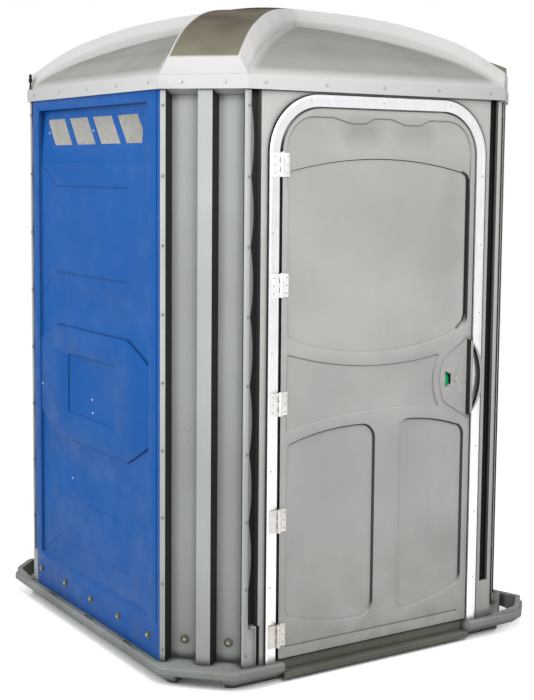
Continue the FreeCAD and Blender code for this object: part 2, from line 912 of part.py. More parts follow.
def frame_rivets():
    middle = frame_wide / 2
    right_x = frame_right_x - middle + frame_rivet_shift
    left_x = frame_left_x + middle - frame_rivet_shift
    spots = [(right_x, right_rivet_first_z + k * right_rivet_pitch) for k in range(right_rivet_count)]
    spots += [(left_x, left_rivet_first_z + k * left_rivet_pitch) for k in range(left_rivet_count)]
    spots += [(x, frame_top_z - middle) for x in spread(3, head_rivet_pitch)]
    heads = [hexagon_head(rivet_r, rivet_high, V(x, frame_face_y, z), V(0, -1, 0)) for x, z in spots]
    return Part.makeCompound(heads)


# Door leaf

def upper_recesses():
    y0 = door_face_y
    left = door_left_x
    right = door_right_x
    head = door_head_z
    top = curve_plate([
        ((left + 18.0, head - 274.0), (left + 18.0, head - 138.0)),
        ((left + 18.0, head - 138.0), (left + 49.0, head - 60.0), (left + 124.0, head - 26.0)),
        ((left + 124.0, head - 26.0), (left + 205.0, head - 26.0)),
        ((left + 205.0, head - 26.0), (-129.0, head - 45.0)),
        ((-129.0, head - 45.0), (-72.0, head - 45.0)),
        ((-72.0, head - 45.0), (-32.0, head - 26.0)),
        ((-32.0, head - 26.0), (43.0, head - 26.0)),
        ((43.0, head - 26.0), (102.0, head - 45.0)),
        ((102.0, head - 45.0), (170.0, head - 45.0)),
        ((170.0, head - 45.0), (right - 217.0, head - 26.0)),
        ((right - 217.0, head - 26.0), (right - 128.0, head - 26.0)),
        ((right - 128.0, head - 26.0), (right - 51.0, head - 60.0), (right - 18.0, head - 138.0)),
        ((right - 18.0, head - 138.0), (right - 18.0, head - 274.0)),
        ((right - 18.0, head - 274.0), (left + 18.0, head - 274.0)),
    ], y0, y0 + shallow_recess)
    upper = curve_plate([
        ((left + 23.0, 1225.0), (left + 23.0, 1735.0)),
        ((left + 23.0, 1735.0), (left + 29.0, 1757.0), (left + 53.0, 1770.0)),
        ((left + 53.0, 1770.0), (10.0, 1811.0), (right - 49.0, 1765.0)),
        ((right - 49.0, 1765.0), (right - 26.0, 1750.0), (right - 20.0, 1727.0)),
        ((right - 20.0, 1727.0), (right - 20.0, 1235.0)),
        ((right - 20.0, 1235.0), (right - 31.0, 1202.0), (right - 62.0, 1182.0)),
        ((right - 62.0, 1182.0), (0.0, 1122.0), (left + 53.0, 1182.0)),
        ((left + 53.0, 1182.0), (left + 31.0, 1199.0), (left + 23.0, 1225.0)),
    ], y0, y0 + panel_recess)
    return [top, upper]


def middle_recess():
    y0 = door_face_y
    left = door_left_x
    right = door_right_x
    return curve_plate([
        ((left + 23.0, 890.0), (left + 23.0, 1128.0)),
        ((left + 23.0, 1128.0), (left + 27.0, 1138.0), (left + 38.0, 1139.0)),
        ((left + 38.0, 1139.0), (-45.0, 1082.0), (right - 162.0, 1101.0)),
        ((right - 162.0, 1101.0), (right - 153.0, 1098.0), (right - 154.0, 1088.0)),
        ((right - 154.0, 1088.0), (right - 176.0, 1002.0), (right - 153.0, 917.0)),
        ((right - 153.0, 917.0), (right - 153.0, 906.0), (right - 163.0, 903.0)),
        ((right - 163.0, 903.0), (-60.0, 915.0), (left + 42.0, 872.0)),
        ((left + 42.0, 872.0), (left + 28.0, 876.0), (left + 23.0, 890.0)),
    ], y0, y0 + shallow_recess)


def lower_recesses():
    y0 = door_face_y
    left = door_left_x
    right = door_right_x
    hinge_side = curve_plate([
        ((left + 24.0, 250.0), (left + 24.0, 806.0)),
        ((left + 24.0, 806.0), (left + 30.0, 824.0), (left + 46.0, 834.0)),
        ((left + 46.0, 834.0), (-222.0, 866.0), (-70.0, 874.0)),
        ((-70.0, 874.0), (-28.0, 858.0), (-9.0, 818.0)),
        ((-9.0, 818.0), (-9.0, 228.0)),
        ((-9.0, 228.0), (-26.0, 183.0), (-70.0, 165.0)),
        ((-70.0, 165.0), (-213.0, 176.0), (left + 64.0, 210.0)),
        ((left + 64.0, 210.0), (left + 36.0, 224.0), (left + 24.0, 250.0)),
    ], y0, y0 + panel_recess)
    latch_side = curve_plate([
        ((99.0, 205.0), (99.0, 838.0)),
        ((99.0, 838.0), (111.0, 864.0), (138.0, 875.0)),
        ((138.0, 875.0), (252.0, 864.0), (right - 66.0, 836.0)),
        ((right - 66.0, 836.0), (right - 39.0, 821.0), (right - 28.0, 792.0)),
        ((right - 28.0, 792.0), (right - 28.0, 266.0)),
        ((right - 28.0, 266.0), (right - 40.0, 228.0), (right - 76.0, 209.0)),
        ((right - 76.0, 209.0), (249.0, 180.0), (138.0, 166.0)),
        ((138.0, 166.0), (111.0, 177.0), (99.0, 205.0)),
    ], y0, y0 + panel_recess)
    return [hinge_side, latch_side]


def window_cut(y0, y1):
    left_half = window_left_high / 2
    right_half = window_right_high / 2
    corners = [
        (window_left_x, latch_z - left_half), (window_right_x, latch_z - right_half),
        (window_right_x, latch_z + right_half), (window_left_x, latch_z + left_half)]
    return upright_plate(corners, y0, y1)


def finger_notch(y0, y1):
    edge = door_right_x + seat_gap
    deepest = door_right_x - stop_overlap + stop_edge_margin
    low, high = notch_heights
    return curve_plate([
        ((edge, low), (deepest, (low + high) / 2), (edge, high)),
        ((edge, high), (edge, low)),
    ], y0, y1)


def spindle_hole(y0, y1):
    return rod(spindle_r + running_gap, V(latch_x, y0, latch_z), V(latch_x, y1, latch_z))


def door_skin_outer():
    body = door_arch(0.0, door_face_y, skin_joint_y)
    low, high = kick_line_rises
    kick_line = block(
        door_left_x + kick_line_left_inset, door_right_x - kick_line_right_inset,
        door_face_y, door_face_y + kick_line_deep, door_bottom_z + low, door_bottom_z + high)
    disc_y = skin_joint_y - disc_thick - disc_back_gap - disc_front_gap
    tools = [drafted(recess) for recess in upper_recesses() + [middle_recess()] + lower_recesses()]
    tools.append(kick_line)
    tools.append(window_cut(door_face_y, skin_joint_y))
    tools.append(finger_notch(door_face_y, skin_joint_y))
    tools.append(spindle_hole(door_face_y, skin_joint_y))
    tools.append(rod(disc_r + disc_room, V(latch_x, disc_y, latch_z), V(latch_x, skin_joint_y, latch_z)))
    return body.cut(Part.makeCompound(tools)).removeSplitter()


def door_skin_inner():
    body = door_arch(0.0, skin_joint_y, door_back_y)
    left = door_left_x + inner_recess_left_inset
    right = door_right_x - inner_recess_right_inset
    tools = [finger_notch(skin_joint_y, door_back_y), spindle_hole(skin_joint_y, door_back_y)]
    pocket = door_arch(-inner_border, skin_joint_y, skin_joint_y + inner_pocket, door_bottom_z + inner_border)
    lock_low, lock_high = lock_block_heights
    pocket = pocket.cut(block(
        latch_x - disc_r - inner_border, door_right_x, skin_joint_y, door_back_y, lock_low, lock_high))
    for z0, z1 in inner_recess_heights:
        tools.append(arch(
            left, right, z0, z1, inner_recess_round, door_back_y - inner_recess_deep, door_back_y))
        pocket = pocket.cut(arch(
            left - inner_pocket, right + inner_pocket, z0 - inner_pocket, z1 + inner_pocket,
            inner_recess_round + inner_pocket, skin_joint_y, door_back_y))
    return body.cut(Part.makeCompound(tools)).cut(pocket).removeSplitter()


def d_outline(left, reach, bottom, top, y0, y1):
    middle = (bottom + top) / 2
    strokes = [
        ((left, bottom), (reach, middle), (left, top)),
        ((left, top), (left, bottom)),
    ]
    return curve_plate(strokes, y0, y1)


def pull_handle():
    pad_y = door_face_y - pad_thick
    grip_back = frame_face_y - grip_over_frame
    grip_front = grip_back - grip_thick
    grip_root_x = grip_inner_x - grip_root
    edge = door_right_x - pad_edge_inset
    bottom, low, middle, high, top = [latch_z + rise for rise in pad_rises]
    pad = curve_plate([
        ((edge, top), (pad_corner_x, high)),
        ((pad_corner_x, high), (pad_middle_x, middle), (pad_corner_x, low)),
        ((pad_corner_x, low), (edge, bottom)),
        ((edge, bottom), (edge, top)),
    ], pad_y, door_face_y)
    ring = d_outline(grip_root_x, grip_reach_x, grip_bottom_z, grip_top_z, grip_front, grip_back)
    gap = d_outline(
        grip_inner_x, grip_reach_x - grip_band, grip_bottom_z + grip_end, grip_top_z - grip_end,
        grip_front, door_face_y)
    neck = block(grip_root_x, edge, grip_back, pad_y, grip_bottom_z - neck_margin, grip_top_z + neck_margin)
    beside = block(grip_inner_x, door_right_x, pad_y, door_face_y, bottom, top)
    handle = fuse([pad.cut(beside), ring, neck])
    openings = [gap, window_cut(pad_y, door_face_y), spindle_hole(pad_y, door_face_y)]
    return handle.cut(Part.makeCompound(openings)).removeSplitter()


# Hinges

def hinge_bottoms():
    return [hinge_first_z + k * hinge_pitch for k in range(hinge_count)]


def knuckle_band(k, z0):
    step = hinge_high / knuckle_count
    return z0 + k * step + knuckle_gap / 2, z0 + (k + 1) * step - knuckle_gap / 2


def knuckles(first, bore, z0):
    barrels = []
    for k in range(first, knuckle_count, 2):
        low, high = knuckle_band(k, z0)
        barrels.append(rod(hinge_barrel_r, V(hinge_x, hinge_y, low), V(hinge_x, hinge_y, high)))
    hole = rod(bore, V(hinge_x, hinge_y, z0), V(hinge_x, hinge_y, z0 + hinge_high))
    return barrels, hole


def frame_leaf(z0):
    barrels, hole = knuckles(0, hinge_pin_r, z0)
    face_y = bead_face_y - hinge_leaf_thick
    plate_x = hinge_x - hinge_barrel_r - leaf_gap
    pieces = [block(hinge_x - hinge_leaf_wide, plate_x, face_y, bead_face_y, z0, z0 + hinge_high)]
    for k in range(0, knuckle_count, 2):
        low, high = knuckle_band(k, z0)
        pieces.append(block(plate_x, hinge_x, face_y, bead_face_y, low, high))
    return fuse(pieces + barrels).cut(hole)


def door_leaf(z0):
    barrels, hole = knuckles(1, hinge_pin_r + running_gap / 3, z0)
    bend_x = hinge_x + hinge_barrel_r + leaf_gap
    plate_x = bend_x + door_leaf_bend
    half = hinge_leaf_thick / 2
    pieces = [block(
        plate_x, hinge_x + door_leaf_wide, door_face_y - hinge_leaf_thick, door_face_y, z0, z0 + hinge_high)]
    for k in range(1, knuckle_count, 2):
        low, high = knuckle_band(k, z0)
        pieces.append(block(hinge_x, plate_x, hinge_y - half, hinge_y + half, low, high))
        pieces.append(block(bend_x, plate_x, hinge_y - half, door_face_y, low, high))
    return fuse(pieces + barrels).cut(hole)


def hinge_frame_leaves():
    return Part.makeCompound([frame_leaf(z0) for z0 in hinge_bottoms()])


def hinge_door_leaves():
    return Part.makeCompound([door_leaf(z0) for z0 in hinge_bottoms()])


def hinge_pins():
    pins = []
    for z0 in hinge_bottoms():
        top = z0 + hinge_high
        shaft = rod(hinge_pin_r, V(hinge_x, hinge_y, z0), V(hinge_x, hinge_y, top))
        head = rod(pin_head_r, V(hinge_x, hinge_y, top), V(hinge_x, hinge_y, top + pin_head_high))
        pins.append(fuse([shaft, head]))
    return Part.makeCompound(pins)


def hinge_rivets(x, y):
    heads = []
    for z0 in hinge_bottoms():
        for share in leaf_rivet_shares:
            heads.append(hexagon_head(rivet_r, rivet_high, V(x, y, z0 + share * hinge_high), V(0, -1, 0)))
    return Part.makeCompound(heads)


# Latch: a spindle with the occupancy disc and a crank whose pin slides the bolt

bolt_y0 = stop_y + frame_stop_thick + bolt_stop_gap
bolt_y1 = bolt_y0 + bolt_thick
case_back_y = door_back_y + case_deep


def crank_pin_place():
    offset = crank_r / ROOT2
    return V(latch_x - offset, 0, latch_z - offset)


def latch_spindle():
    key_base = door_face_y - pad_thick
    face_y = key_base - key_head_high
    head = rod(key_head_r, V(latch_x, face_y, latch_z), V(latch_x, key_base - running_gap, latch_z))
    slot = block(
        latch_x - key_head_r, latch_x + key_head_r, face_y, face_y + key_slot_deep,
        latch_z - key_slot_wide / 2, latch_z + key_slot_wide / 2)
    shaft = rod(
        spindle_r, V(latch_x, key_base - running_gap, latch_z),
        V(latch_x, case_back_y + spindle_tail, latch_z))
    arm_y = bolt_y1 + crank_gap
    arm = rod(crank_r + crank_rim, V(latch_x, arm_y, latch_z), V(latch_x, arm_y + crank_thick, latch_z))
    pin_at = crank_pin_place()
    pin = rod(crank_pin_r, V(pin_at.x, bolt_y0, pin_at.z), V(pin_at.x, arm_y, pin_at.z))
    return fuse([head.cut(slot), shaft, arm, pin])


def disc_sector(first, last):
    y1 = skin_joint_y - disc_back_gap
    y0 = y1 - disc_thick
    disc = rod(disc_r, V(latch_x, y0, latch_z), V(latch_x, y1, latch_z))
    disc = disc.cut(rod(spindle_r, V(latch_x, y0, latch_z), V(latch_x, y1, latch_z)))
    reach = 2 * disc_r
    corners = [(latch_x, latch_z)]
    for angle in (first, (first + last) / 2, last):
        turn = math.radians(angle)
        corners.append((latch_x + reach * math.cos(turn), latch_z + reach * math.sin(turn)))
    return disc.common(upright_plate(corners, y0, y1))


def latch_knob():
    y0 = case_back_y + knob_gap
    grip_y = y0 + knob_rose_high - knob_grip_sunk
    rose = rod(knob_r, V(latch_x, y0, latch_z), V(latch_x, y0 + knob_rose_high, latch_z))
    rose = rose.makeFillet(knob_rose_round, [edge for edge in rose.Edges if edge.BoundBox.YMin > grip_y])
    left = latch_x - knob_grip_half_wide
    right = latch_x + knob_grip_half_wide
    low = latch_z - knob_grip_half_high
    high = latch_z + knob_grip_half_high
    outline = [(left, low), (right, low), (right, high), (left, high)]
    grip = upright_plate(outline, grip_y, y0 + knob_deep, [knob_grip_round] * 4)
    hole = rod(spindle_r, V(latch_x, y0, latch_z), V(latch_x, case_back_y + spindle_tail, latch_z))
    return fuse([rose, grip]).cut(hole)


def latch_case():
    x0 = latch_x - case_tail
    x1 = latch_x + case_reach
    low = latch_z - case_half_high
    high = latch_z + case_half_high
    outline = [(x0, low), (x1, low), (x1, high), (x0, high)]
    shell = upright_plate(outline, door_back_y, case_back_y, [case_round] * 4)
    hollow = block(
        x0 + case_wall, x1 - case_wall, door_back_y, case_back_y - case_wall,
        low + case_wall, high - case_wall)
    guide = bolt_high / 2 + bolt_guide_gap
    mouth = block(
        x1 - case_wall, x1, bolt_y0 - bolt_guide_gap, bolt_y1 + bolt_guide_gap,
        latch_z - guide, latch_z + guide)
    return shell.cut(Part.makeCompound([hollow, mouth, spindle_hole(door_back_y, case_back_y)]))


def latch_bolt():
    x0 = latch_x - 2 * crank_r
    x1 = latch_x + case_reach + bolt_nose
    low = latch_z - bolt_high / 2
    body = block(x0, x1, bolt_y0, bolt_y1, low, low + bolt_high)
    nose = [edge for edge in body.Edges if edge.BoundBox.XMin > x1 - 1.0 and edge.BoundBox.ZLength < 1.0]
    body = body.makeChamfer(bolt_chamfer, nose)
    pin_at = crank_pin_place()
    slack = crank_pin_r + crank_slack
    slot = block(pin_at.x - slack, pin_at.x + slack, bolt_y0, bolt_y1, low, pin_at.z + slack)
    room = spindle_r + bolt_window_room
    window = block(
        latch_x - bolt_travel - room, latch_x + room, bolt_y0, bolt_y1, latch_z - room, latch_z + room)
    return body.cut(Part.makeCompound([slot, window]))


def strike_plate():
    y0 = stop_y + frame_stop_thick
    x0 = door_right_x - stop_overlap + stop_edge_margin
    x1 = frame_right_x - frame_wide + frame_wall
    return block(x0, x1, y0, y0 + strike_thick, latch_z - strike_half_high, latch_z + strike_half_high)


# Roof: a low vault over each side and two crossing arched hips with a flat top

def hip_arch_points(drop, shrink):
    reach = corner_reach + skirt_thick - shrink
    ends = hip_end_z - drop
    crown = crown_z - drop
    rise = crown - ends
    shape = [
        (1.0, 0.0), (0.935, 0.16), (0.84, 0.37), (0.71, 0.565), (0.585, 0.705), (0.425, 0.83), (0.21, 0.94)]
    right = [(share * reach, ends + lift * rise) for share, lift in shape]
    left = [(-r, z) for r, z in reversed(right)]
    return right + [(0.0, crown)] + left


def arch_wire(points, y, foot_z):
    place = upright(y)
    curve = Part.BSplineCurve()
    curve.interpolate([place(V(a, b, 0)) for a, b in points])
    first = place(V(points[0][0], points[0][1], 0))
    last = place(V(points[-1][0], points[-1][1], 0))
    foot_first = V(first.x, y, foot_z)
    foot_last = V(last.x, y, foot_z)
    return Part.Wire([
        curve.toShape(),
        Part.LineSegment(last, foot_last).toShape(),
        Part.LineSegment(foot_last, foot_first).toShape(),
        Part.LineSegment(foot_first, first).toShape(),
    ])


def hip_band(inward):
    top = hip_arch_points(inward, inward)
    low = hip_arch_points(hip_side_drop + inward, inward)
    foot = skirt_top_z - 3 * roof_skin
    half = hip_half - inward / 2
    wide = half + hip_side_run
    middle = Part.Face(arch_wire(top, -half, foot)).extrude(V(0, 2 * half, 0))
    flank = Part.makeLoft([arch_wire(top, half, foot), arch_wire(low, wide, foot)], True, True)
    band = fuse([middle, flank, mirrored_y(flank)])
    return turned(band, 45).fuse(turned(band, -45))


def vault_points(inward):
    half = wall_half - roof_inset - inward
    rise = vault_crown_z - skirt_top_z
    shape = [(1.0, 0.0), (0.965, 0.13), (0.90, 0.27), (0.81, 0.42), (0.62, 0.66), (0.40, 0.855), (0.2, 0.96)]
    right = [(share * half, skirt_top_z - inward + lift * rise) for share, lift in shape]
    left = [(-a, z) for a, z in reversed(right)]
    return right + [(0.0, vault_crown_z - inward)] + left


def vault(inward):
    foot = skirt_top_z - 3 * roof_skin
    half = wall_half + skirt_thick
    barrel = Part.Face(arch_wire(vault_points(inward), -half, foot)).extrude(V(0, 2 * half, 0))
    wedge = Part.Face(polygon_wire([(0.0, 0.0), (half, -half), (half, half)], in_plan(foot)))
    gore = barrel.common(wedge.extrude(V(0, 0, crown_z - foot)))
    return fuse([turned(gore, 90 * k) for k in range(4)])


def roof_form(inward):
    foot = skirt_top_z - 3 * roof_skin
    limit = plan_plate(cut_square(skirt_thick - skirt_round - inward), foot, crown_z + seat_gap)
    return vault(inward).fuse(hip_band(inward)).common(limit)


def roof_shell():
    skirt = plan_plate(cut_square(skirt_thick), skirt_bottom_z, skirt_top_z)
    skirt_edges = [edge for edge in skirt.Edges if edge.BoundBox.ZMin > skirt_top_z - 1.0]
    skirt = skirt.makeFillet(skirt_round, skirt_edges)
    outer = skirt.fuse(roof_form(0.0))
    seat = plan_plate(cut_square(0.0), skirt_bottom_z, wall_top_z)
    throat = plan_plate(cut_square(-roof_inset - roof_skin), wall_top_z, skirt_top_z - 2 * roof_skin)
    stack_hole = rod(stack_r + running_gap, V(stack_at, stack_at, wall_top_z), V(stack_at, stack_at, crown_z))
    inner = seat.multiFuse([throat, roof_form(roof_skin)])
    return outer.cut(inner).cut(stack_hole).removeSplitter()


def roof_screws():
    heads = []
    z = (skirt_bottom_z + skirt_top_z) / 2 - 1.0
    level = wall_half + skirt_thick
    for side in range(4):
        for x in spread(roof_screws_per_side, roof_screw_pitch):
            head = hexagon_head(roof_screw_r, roof_screw_high, V(x, -level, z), V(0, -1, 0))
            heads.append(turned(head, 90 * side))
        for x in spread(roof_screws_per_corner, corner_face / 2):
            base = V(x, -corner_reach - skirt_thick, z)
            head = hexagon_head(roof_screw_r, roof_screw_high, base, V(0, -1, 0))
            heads.append(turned(head, 45 + 90 * side))
    return Part.makeCompound(heads)


def tie_stud():
    ledge_middle = wall_half + (skirt_thick - skirt_round - roof_inset) / 2
    hip_foot = (hip_half + hip_side_run + stud_head_r) * ROOT2
    profile = [
        (0, 0), (stud_shank_r, 0), (stud_shank_r, 24.0), (5.5, 30.0), (stud_head_r, 36.0),
        (stud_head_r, 40.0), (5.0, 47.0), (6.0, 52.0), (5.5, 58.0), (3.0, stud_high), (0, stud_high)]
    wire = Part.makePolygon([V(a, 0, b) for a, b in profile + profile[:1]])
    stud = Part.Face(wire).revolve(V(0, 0, 0), V(0, 0, 1), 360)
    stud.translate(V(-ledge_middle, ledge_middle - hip_foot, skirt_top_z))
    return stud


# Fasteners of the walls

def flange_screws():
    heads = []
    side_offset = corner_flange / 2 / ROOT2
    for z in screw_heights():
        spots = [
            (V(-wall_half + side_offset, -corner_vertex - side_offset, z), V(-1, -1, 0)),
            (V(-corner_vertex + front_flange_narrow / 2, front_y, z), V(0, -1, 0)),
        ]
        for base, direction in spots:
            heads.append(hexagon_head(flange_screw_r, flange_screw_high, base, direction))
    corner = Part.makeCompound(heads)
    return Part.makeCompound([turned(corner, 90 * k) for k in range(4)])


def side_bolt_spots():
    spots = []
    for x in spread(base_bolts_per_side, base_bolt_pitch):
        spots.append((V(x, front_y, base_bolt_z), V(0, -1, 0)))
    return spots


def corner_bolt_spots():
    spots = []
    for at in corner_bolt_at:
        x = -wall_half + (at + corner_depth) / ROOT2
        y = -corner_vertex - (at - corner_depth) / ROOT2
        spots.append((V(x, y, base_bolt_z), V(-1, -1, 0)))
    return spots


def base_fasteners(make):
    side = Part.makeCompound([make(base, direction) for base, direction in side_bolt_spots()])
    corner = Part.makeCompound([make(base, direction) for base, direction in corner_bolt_spots()])
    pieces = [turned(side, degrees) for degrees in (90, 180, 270)]
    pieces += [turned(corner, 90 * k) for k in range(4)]
    return Part.makeCompound(pieces)


def base_washers():
    def ring(base, direction):
        out = V(direction).normalize()
        return rod(washer_r, base, base + out * washer_thick)
    return base_fasteners(ring)


def base_bolts():
    def head(base, direction):
        out = V(direction).normalize()
        return hexagon_head(base_bolt_across_r, base_bolt_high, base + out * washer_thick, out)
    return base_fasteners(head)


# Inside: floor, tank, seat and lid, vent stack, rails, paper holder, hook

def floor_deck():
    half = inner_half - seat_gap - floor_side_step
    outline = cut_square(0.0, half, valley_reach - tank_side_gap)
    deck = plan_plate(outline, ledge_z, floor_z, floor_round)
    treads = []
    for x in spread(tread_columns, tread_pitch):
        for y in spread(tread_rows, tread_pitch):
            middle = y + tread_middle_y
            treads.append(block(
                x - tread_half, x + tread_half, middle - tread_half, middle + tread_half,
                floor_z, floor_z + tread_high))
    return deck.fuse(Part.makeCompound(treads)).removeSplitter()


def tank_outline(inward):
    side = tank_back - inward
    cut = valley_reach - tank_side_gap - inward
    leg = cut * ROOT2 - side
    return [
        (tank_left_x + inward, tank_front_y + inward), (side, tank_front_y + inward),
        (side, leg), (leg, side), (tank_left_x + inward, side)]


def tank_form(inward, z0, z1):
    radii = [tank_front_round - inward, tank_side_round, tank_back_round, tank_back_round, tank_side_round]
    lower = rounded_wire(tank_outline(inward), radii, in_plan(z0))
    upper = rounded_wire(tank_outline(inward + tank_taper), radii, in_plan(z1))
    return Part.makeLoft([lower, upper], True, True)


def oval(half_wide, half_long, z0, z1):
    end_r = half_wide * oval_end_share
    end_y = half_long - end_r
    side_r = (half_wide ** 2 + end_y ** 2 - end_r ** 2) / (2 * (half_wide - end_r))
    side_x = side_r - half_wide
    meet = side_r / (side_r - end_r)
    meet_x = meet * side_x - side_x
    meet_y = meet * end_y
    strokes = [
        ((meet_x, meet_y), (0.0, half_long), (-meet_x, meet_y)),
        ((-meet_x, meet_y), (-half_wide, 0.0), (-meet_x, -meet_y)),
        ((-meet_x, -meet_y), (0.0, -half_long), (meet_x, -meet_y)),
        ((meet_x, -meet_y), (half_wide, 0.0), (meet_x, meet_y)),
    ]
    edges = []
    for stroke in strokes:
        points = [V(seat_x + x, seat_y + y, z0) for x, y in stroke]
        edges.append(Part.Arc(points[0], points[1], points[2]).toShape())
    return Part.Face(Part.Wire(edges)).extrude(V(0, 0, z1 - z0))


def waste_tank():
    outer = tank_form(0.0, floor_z, tank_top_z)
    rim = [edge for edge in outer.Edges if edge.BoundBox.ZMin > tank_top_z - 1.0]
    outer = outer.makeFillet(tank_rim_round, rim)
    collar = oval(
        hole_half_wide + collar_wide, hole_half_long + collar_wide,
        tank_top_z - 1.0, tank_top_z + collar_high)
    inner = tank_form(tank_wall, floor_z + tank_wall, tank_top_z - tank_wall)
    low = tank_top_z - 2 * tank_wall
    hole = oval(hole_half_wide, hole_half_long, low, seat_low_z)
    stack = rod(stack_r - stack_wall, V(stack_at, stack_at, low), V(stack_at, stack_at, seat_low_z))
    return fuse([outer, collar]).cut(fuse([inner, hole])).cut(stack)


seat_pin_y = seat_y + hole_half_long + seat_rim + seat_pin_back
seat_low_z = tank_top_z + collar_high + seat_over_collar
seat_pin_z = seat_low_z + seat_thick / 2
bridge_back_y = seat_pin_y - seat_lug_r - bridge_gap


def lug_span(index):
    low = lug_start + index * (lug_wide + lug_gap)
    high = low + lug_wide
    return [(seat_x + low, seat_x + high), (seat_x - high, seat_x - low)]


def pin_rod(radius, x0, x1):
    return rod(radius, V(x0, seat_pin_y, seat_pin_z), V(x1, seat_pin_y, seat_pin_z))


def lug_rods(index, radius):
    return [pin_rod(radius, x0, x1) for x0, x1 in lug_span(index)]


def pin_hole(gap):
    return pin_rod(seat_pin_r + gap, seat_x - 2 * lug_start, seat_x + 2 * lug_start)


def seat_plate(z0, thick, round_r):
    plate = oval(hole_half_wide + seat_rim, hole_half_long + seat_rim - seat_end_trim, z0, z0 + thick)
    rim = [edge for edge in plate.Edges if edge.BoundBox.ZMin > z0 + thick - 1.0]
    return plate.makeFillet(round_r, rim)


def seat_ring():
    top = seat_low_z + seat_thick
    ring = seat_plate(seat_low_z, seat_thick, seat_round)
    ring = ring.cut(oval(hole_half_wide - seat_lip_wide, hole_half_long - seat_lip_long, seat_low_z, top))
    reach = lug_start + lug_wide
    bridge = block(
        seat_x - reach, seat_x + reach, seat_y + hole_half_long + bridge_root, bridge_back_y,
        seat_low_z, top - seat_round)
    webs = []
    for x0, x1 in lug_span(0):
        webs.append(block(x0, x1, bridge_back_y - 1.0, seat_pin_y, seat_low_z + 3.0, top - seat_round))
    return fuse([ring, bridge] + webs + lug_rods(0, seat_lug_r)).cut(pin_hole(running_gap))


def seat_lid_shut():
    z0 = seat_low_z + seat_thick + seat_gap
    bridge_top = z0 + lid_thick - lid_bridge_drop
    reach = lug_start + 2 * lug_wide + lug_gap
    bridge = block(
        seat_x - reach, seat_x + reach, seat_y + hole_half_long, bridge_back_y, z0, bridge_top)
    arms = []
    for x0, x1 in lug_span(1):
        arms.append(side_plate([
            (bridge_back_y - 2.0, z0), (bridge_back_y - 2.0, bridge_top),
            (seat_pin_y, seat_pin_z + seat_lug_r), (seat_pin_y - 2.0, seat_pin_z + 4.0)], x0, x1))
    pieces = [seat_plate(z0, lid_thick, lid_round), bridge] + arms + lug_rods(1, seat_lug_r)
    return fuse(pieces).cut(pin_hole(running_gap))


def seat_lid():
    lid = seat_lid_shut()
    lid.rotate(V(seat_x, seat_pin_y, seat_pin_z), V(-1, 0, 0), lid_open_deg)
    return lid


def seat_brackets():
    pieces = []
    for x0, x1 in lug_span(2):
        post = block(x0, x1, seat_pin_y - bracket_front, seat_pin_y + bracket_back, tank_top_z, seat_pin_z)
        pieces.append(fuse([post, pin_rod(seat_lug_r, x0, x1)]).cut(pin_hole(0.0)))
    return Part.makeCompound(pieces)


def seat_pins():
    near = lug_start - 2 * lug_gap
    far = lug_start + 3 * lug_wide + 2 * lug_gap
    return Part.makeCompound([
        pin_rod(seat_pin_r, seat_x + near, seat_x + far),
        pin_rod(seat_pin_r, seat_x - far, seat_x - near)])


def vent_stack():
    low = V(stack_at, stack_at, tank_top_z)
    high = V(stack_at, stack_at, stack_top_z)
    collar_top = V(stack_at, stack_at, tank_top_z + stack_collar_high)
    pipe = rod(stack_r, low, high).cut(rod(stack_r - stack_wall, low, high))
    collar = rod(stack_r + stack_collar_wide, low, collar_top).cut(rod(stack_r, low, collar_top))
    return fuse([pipe, collar])


def vent_cap():
    z = stack_top_z + cap_lift
    profile = [
        (0, z), (cap_r, z - 18.0), (cap_r, z - 8.0), (cap_r - 16.0, z + cap_high - 18.0),
        (cap_r - 40.0, z + cap_high - 6.0), (0, z + cap_high)]
    wire = Part.makePolygon([V(a, 0, b) for a, b in profile + profile[:1]])
    cap = Part.Face(wire).revolve(V(0, 0, 0), V(0, 0, 1), 360)
    cap.translate(V(stack_at, stack_at, 0))
    legs = []
    for k in range(3):
        turn = math.radians(120 * k + 45)
        middle = stack_r - stack_wall / 2
        x = stack_at + middle * math.cos(turn)
        y = stack_at + middle * math.sin(turn)
        legs.append(rod(stack_wall / 2, V(x, y, stack_top_z), V(x, y, z + 2.0)))
    return fuse([cap] + legs)


def stack_clips():
    clips = []
    for z in clip_heights:
        low = V(stack_at, stack_at, z)
        high = V(stack_at, stack_at, z + clip_high)
        foot = block(stack_at * ROOT2, valley_reach, -clip_foot_half, clip_foot_half, z, z + clip_high)
        clip = fuse([rod(stack_r + clip_thick, low, high), turned(foot, 45)])
        clips.append(clip.cut(rod(stack_r, low, high)))
    return Part.makeCompound(clips)


def bent_rail(first, last, out):
    run = (last - first).normalize()
    start = first + out * rail_off_wall
    end = last + out * rail_off_wall
    bend_share = rail_bend * (1 - 1 / ROOT2)
    first_out = first + out * rail_bend
    first_in = first + run * rail_bend
    last_in = last - run * rail_bend
    last_out = last + out * rail_bend
    path = Part.Wire([
        Part.LineSegment(start, first_out).toShape(),
        Part.Arc(first_out, first + (run + out) * bend_share, first_in).toShape(),
        Part.LineSegment(first_in, last_in).toShape(),
        Part.Arc(last_in, last + (out - run) * bend_share, last_out).toShape(),
        Part.LineSegment(last_out, end).toShape(),
    ])
    section = Part.Wire([Part.makeCircle(rail_r, start, out)])
    tube = path.makePipeShell([section], True, False)
    flanges = [rod(rail_flange_r, point - out * rail_flange_thick, point) for point in (start, end)]
    return fuse([tube] + flanges)


def side_rail(side, span):
    x = side * (lining_half - rail_off_wall)
    first, last = span
    return bent_rail(V(x, first, rail_z), V(x, last, rail_z), V(side, 0, 0))


def back_rail():
    y = lining_half - rail_off_wall
    first, last = back_rail_span
    return bent_rail(V(first, y, rail_z), V(last, y, rail_z), V(0, 1, 0))


roll_x = lining_half - roll_r - roll_wall_room


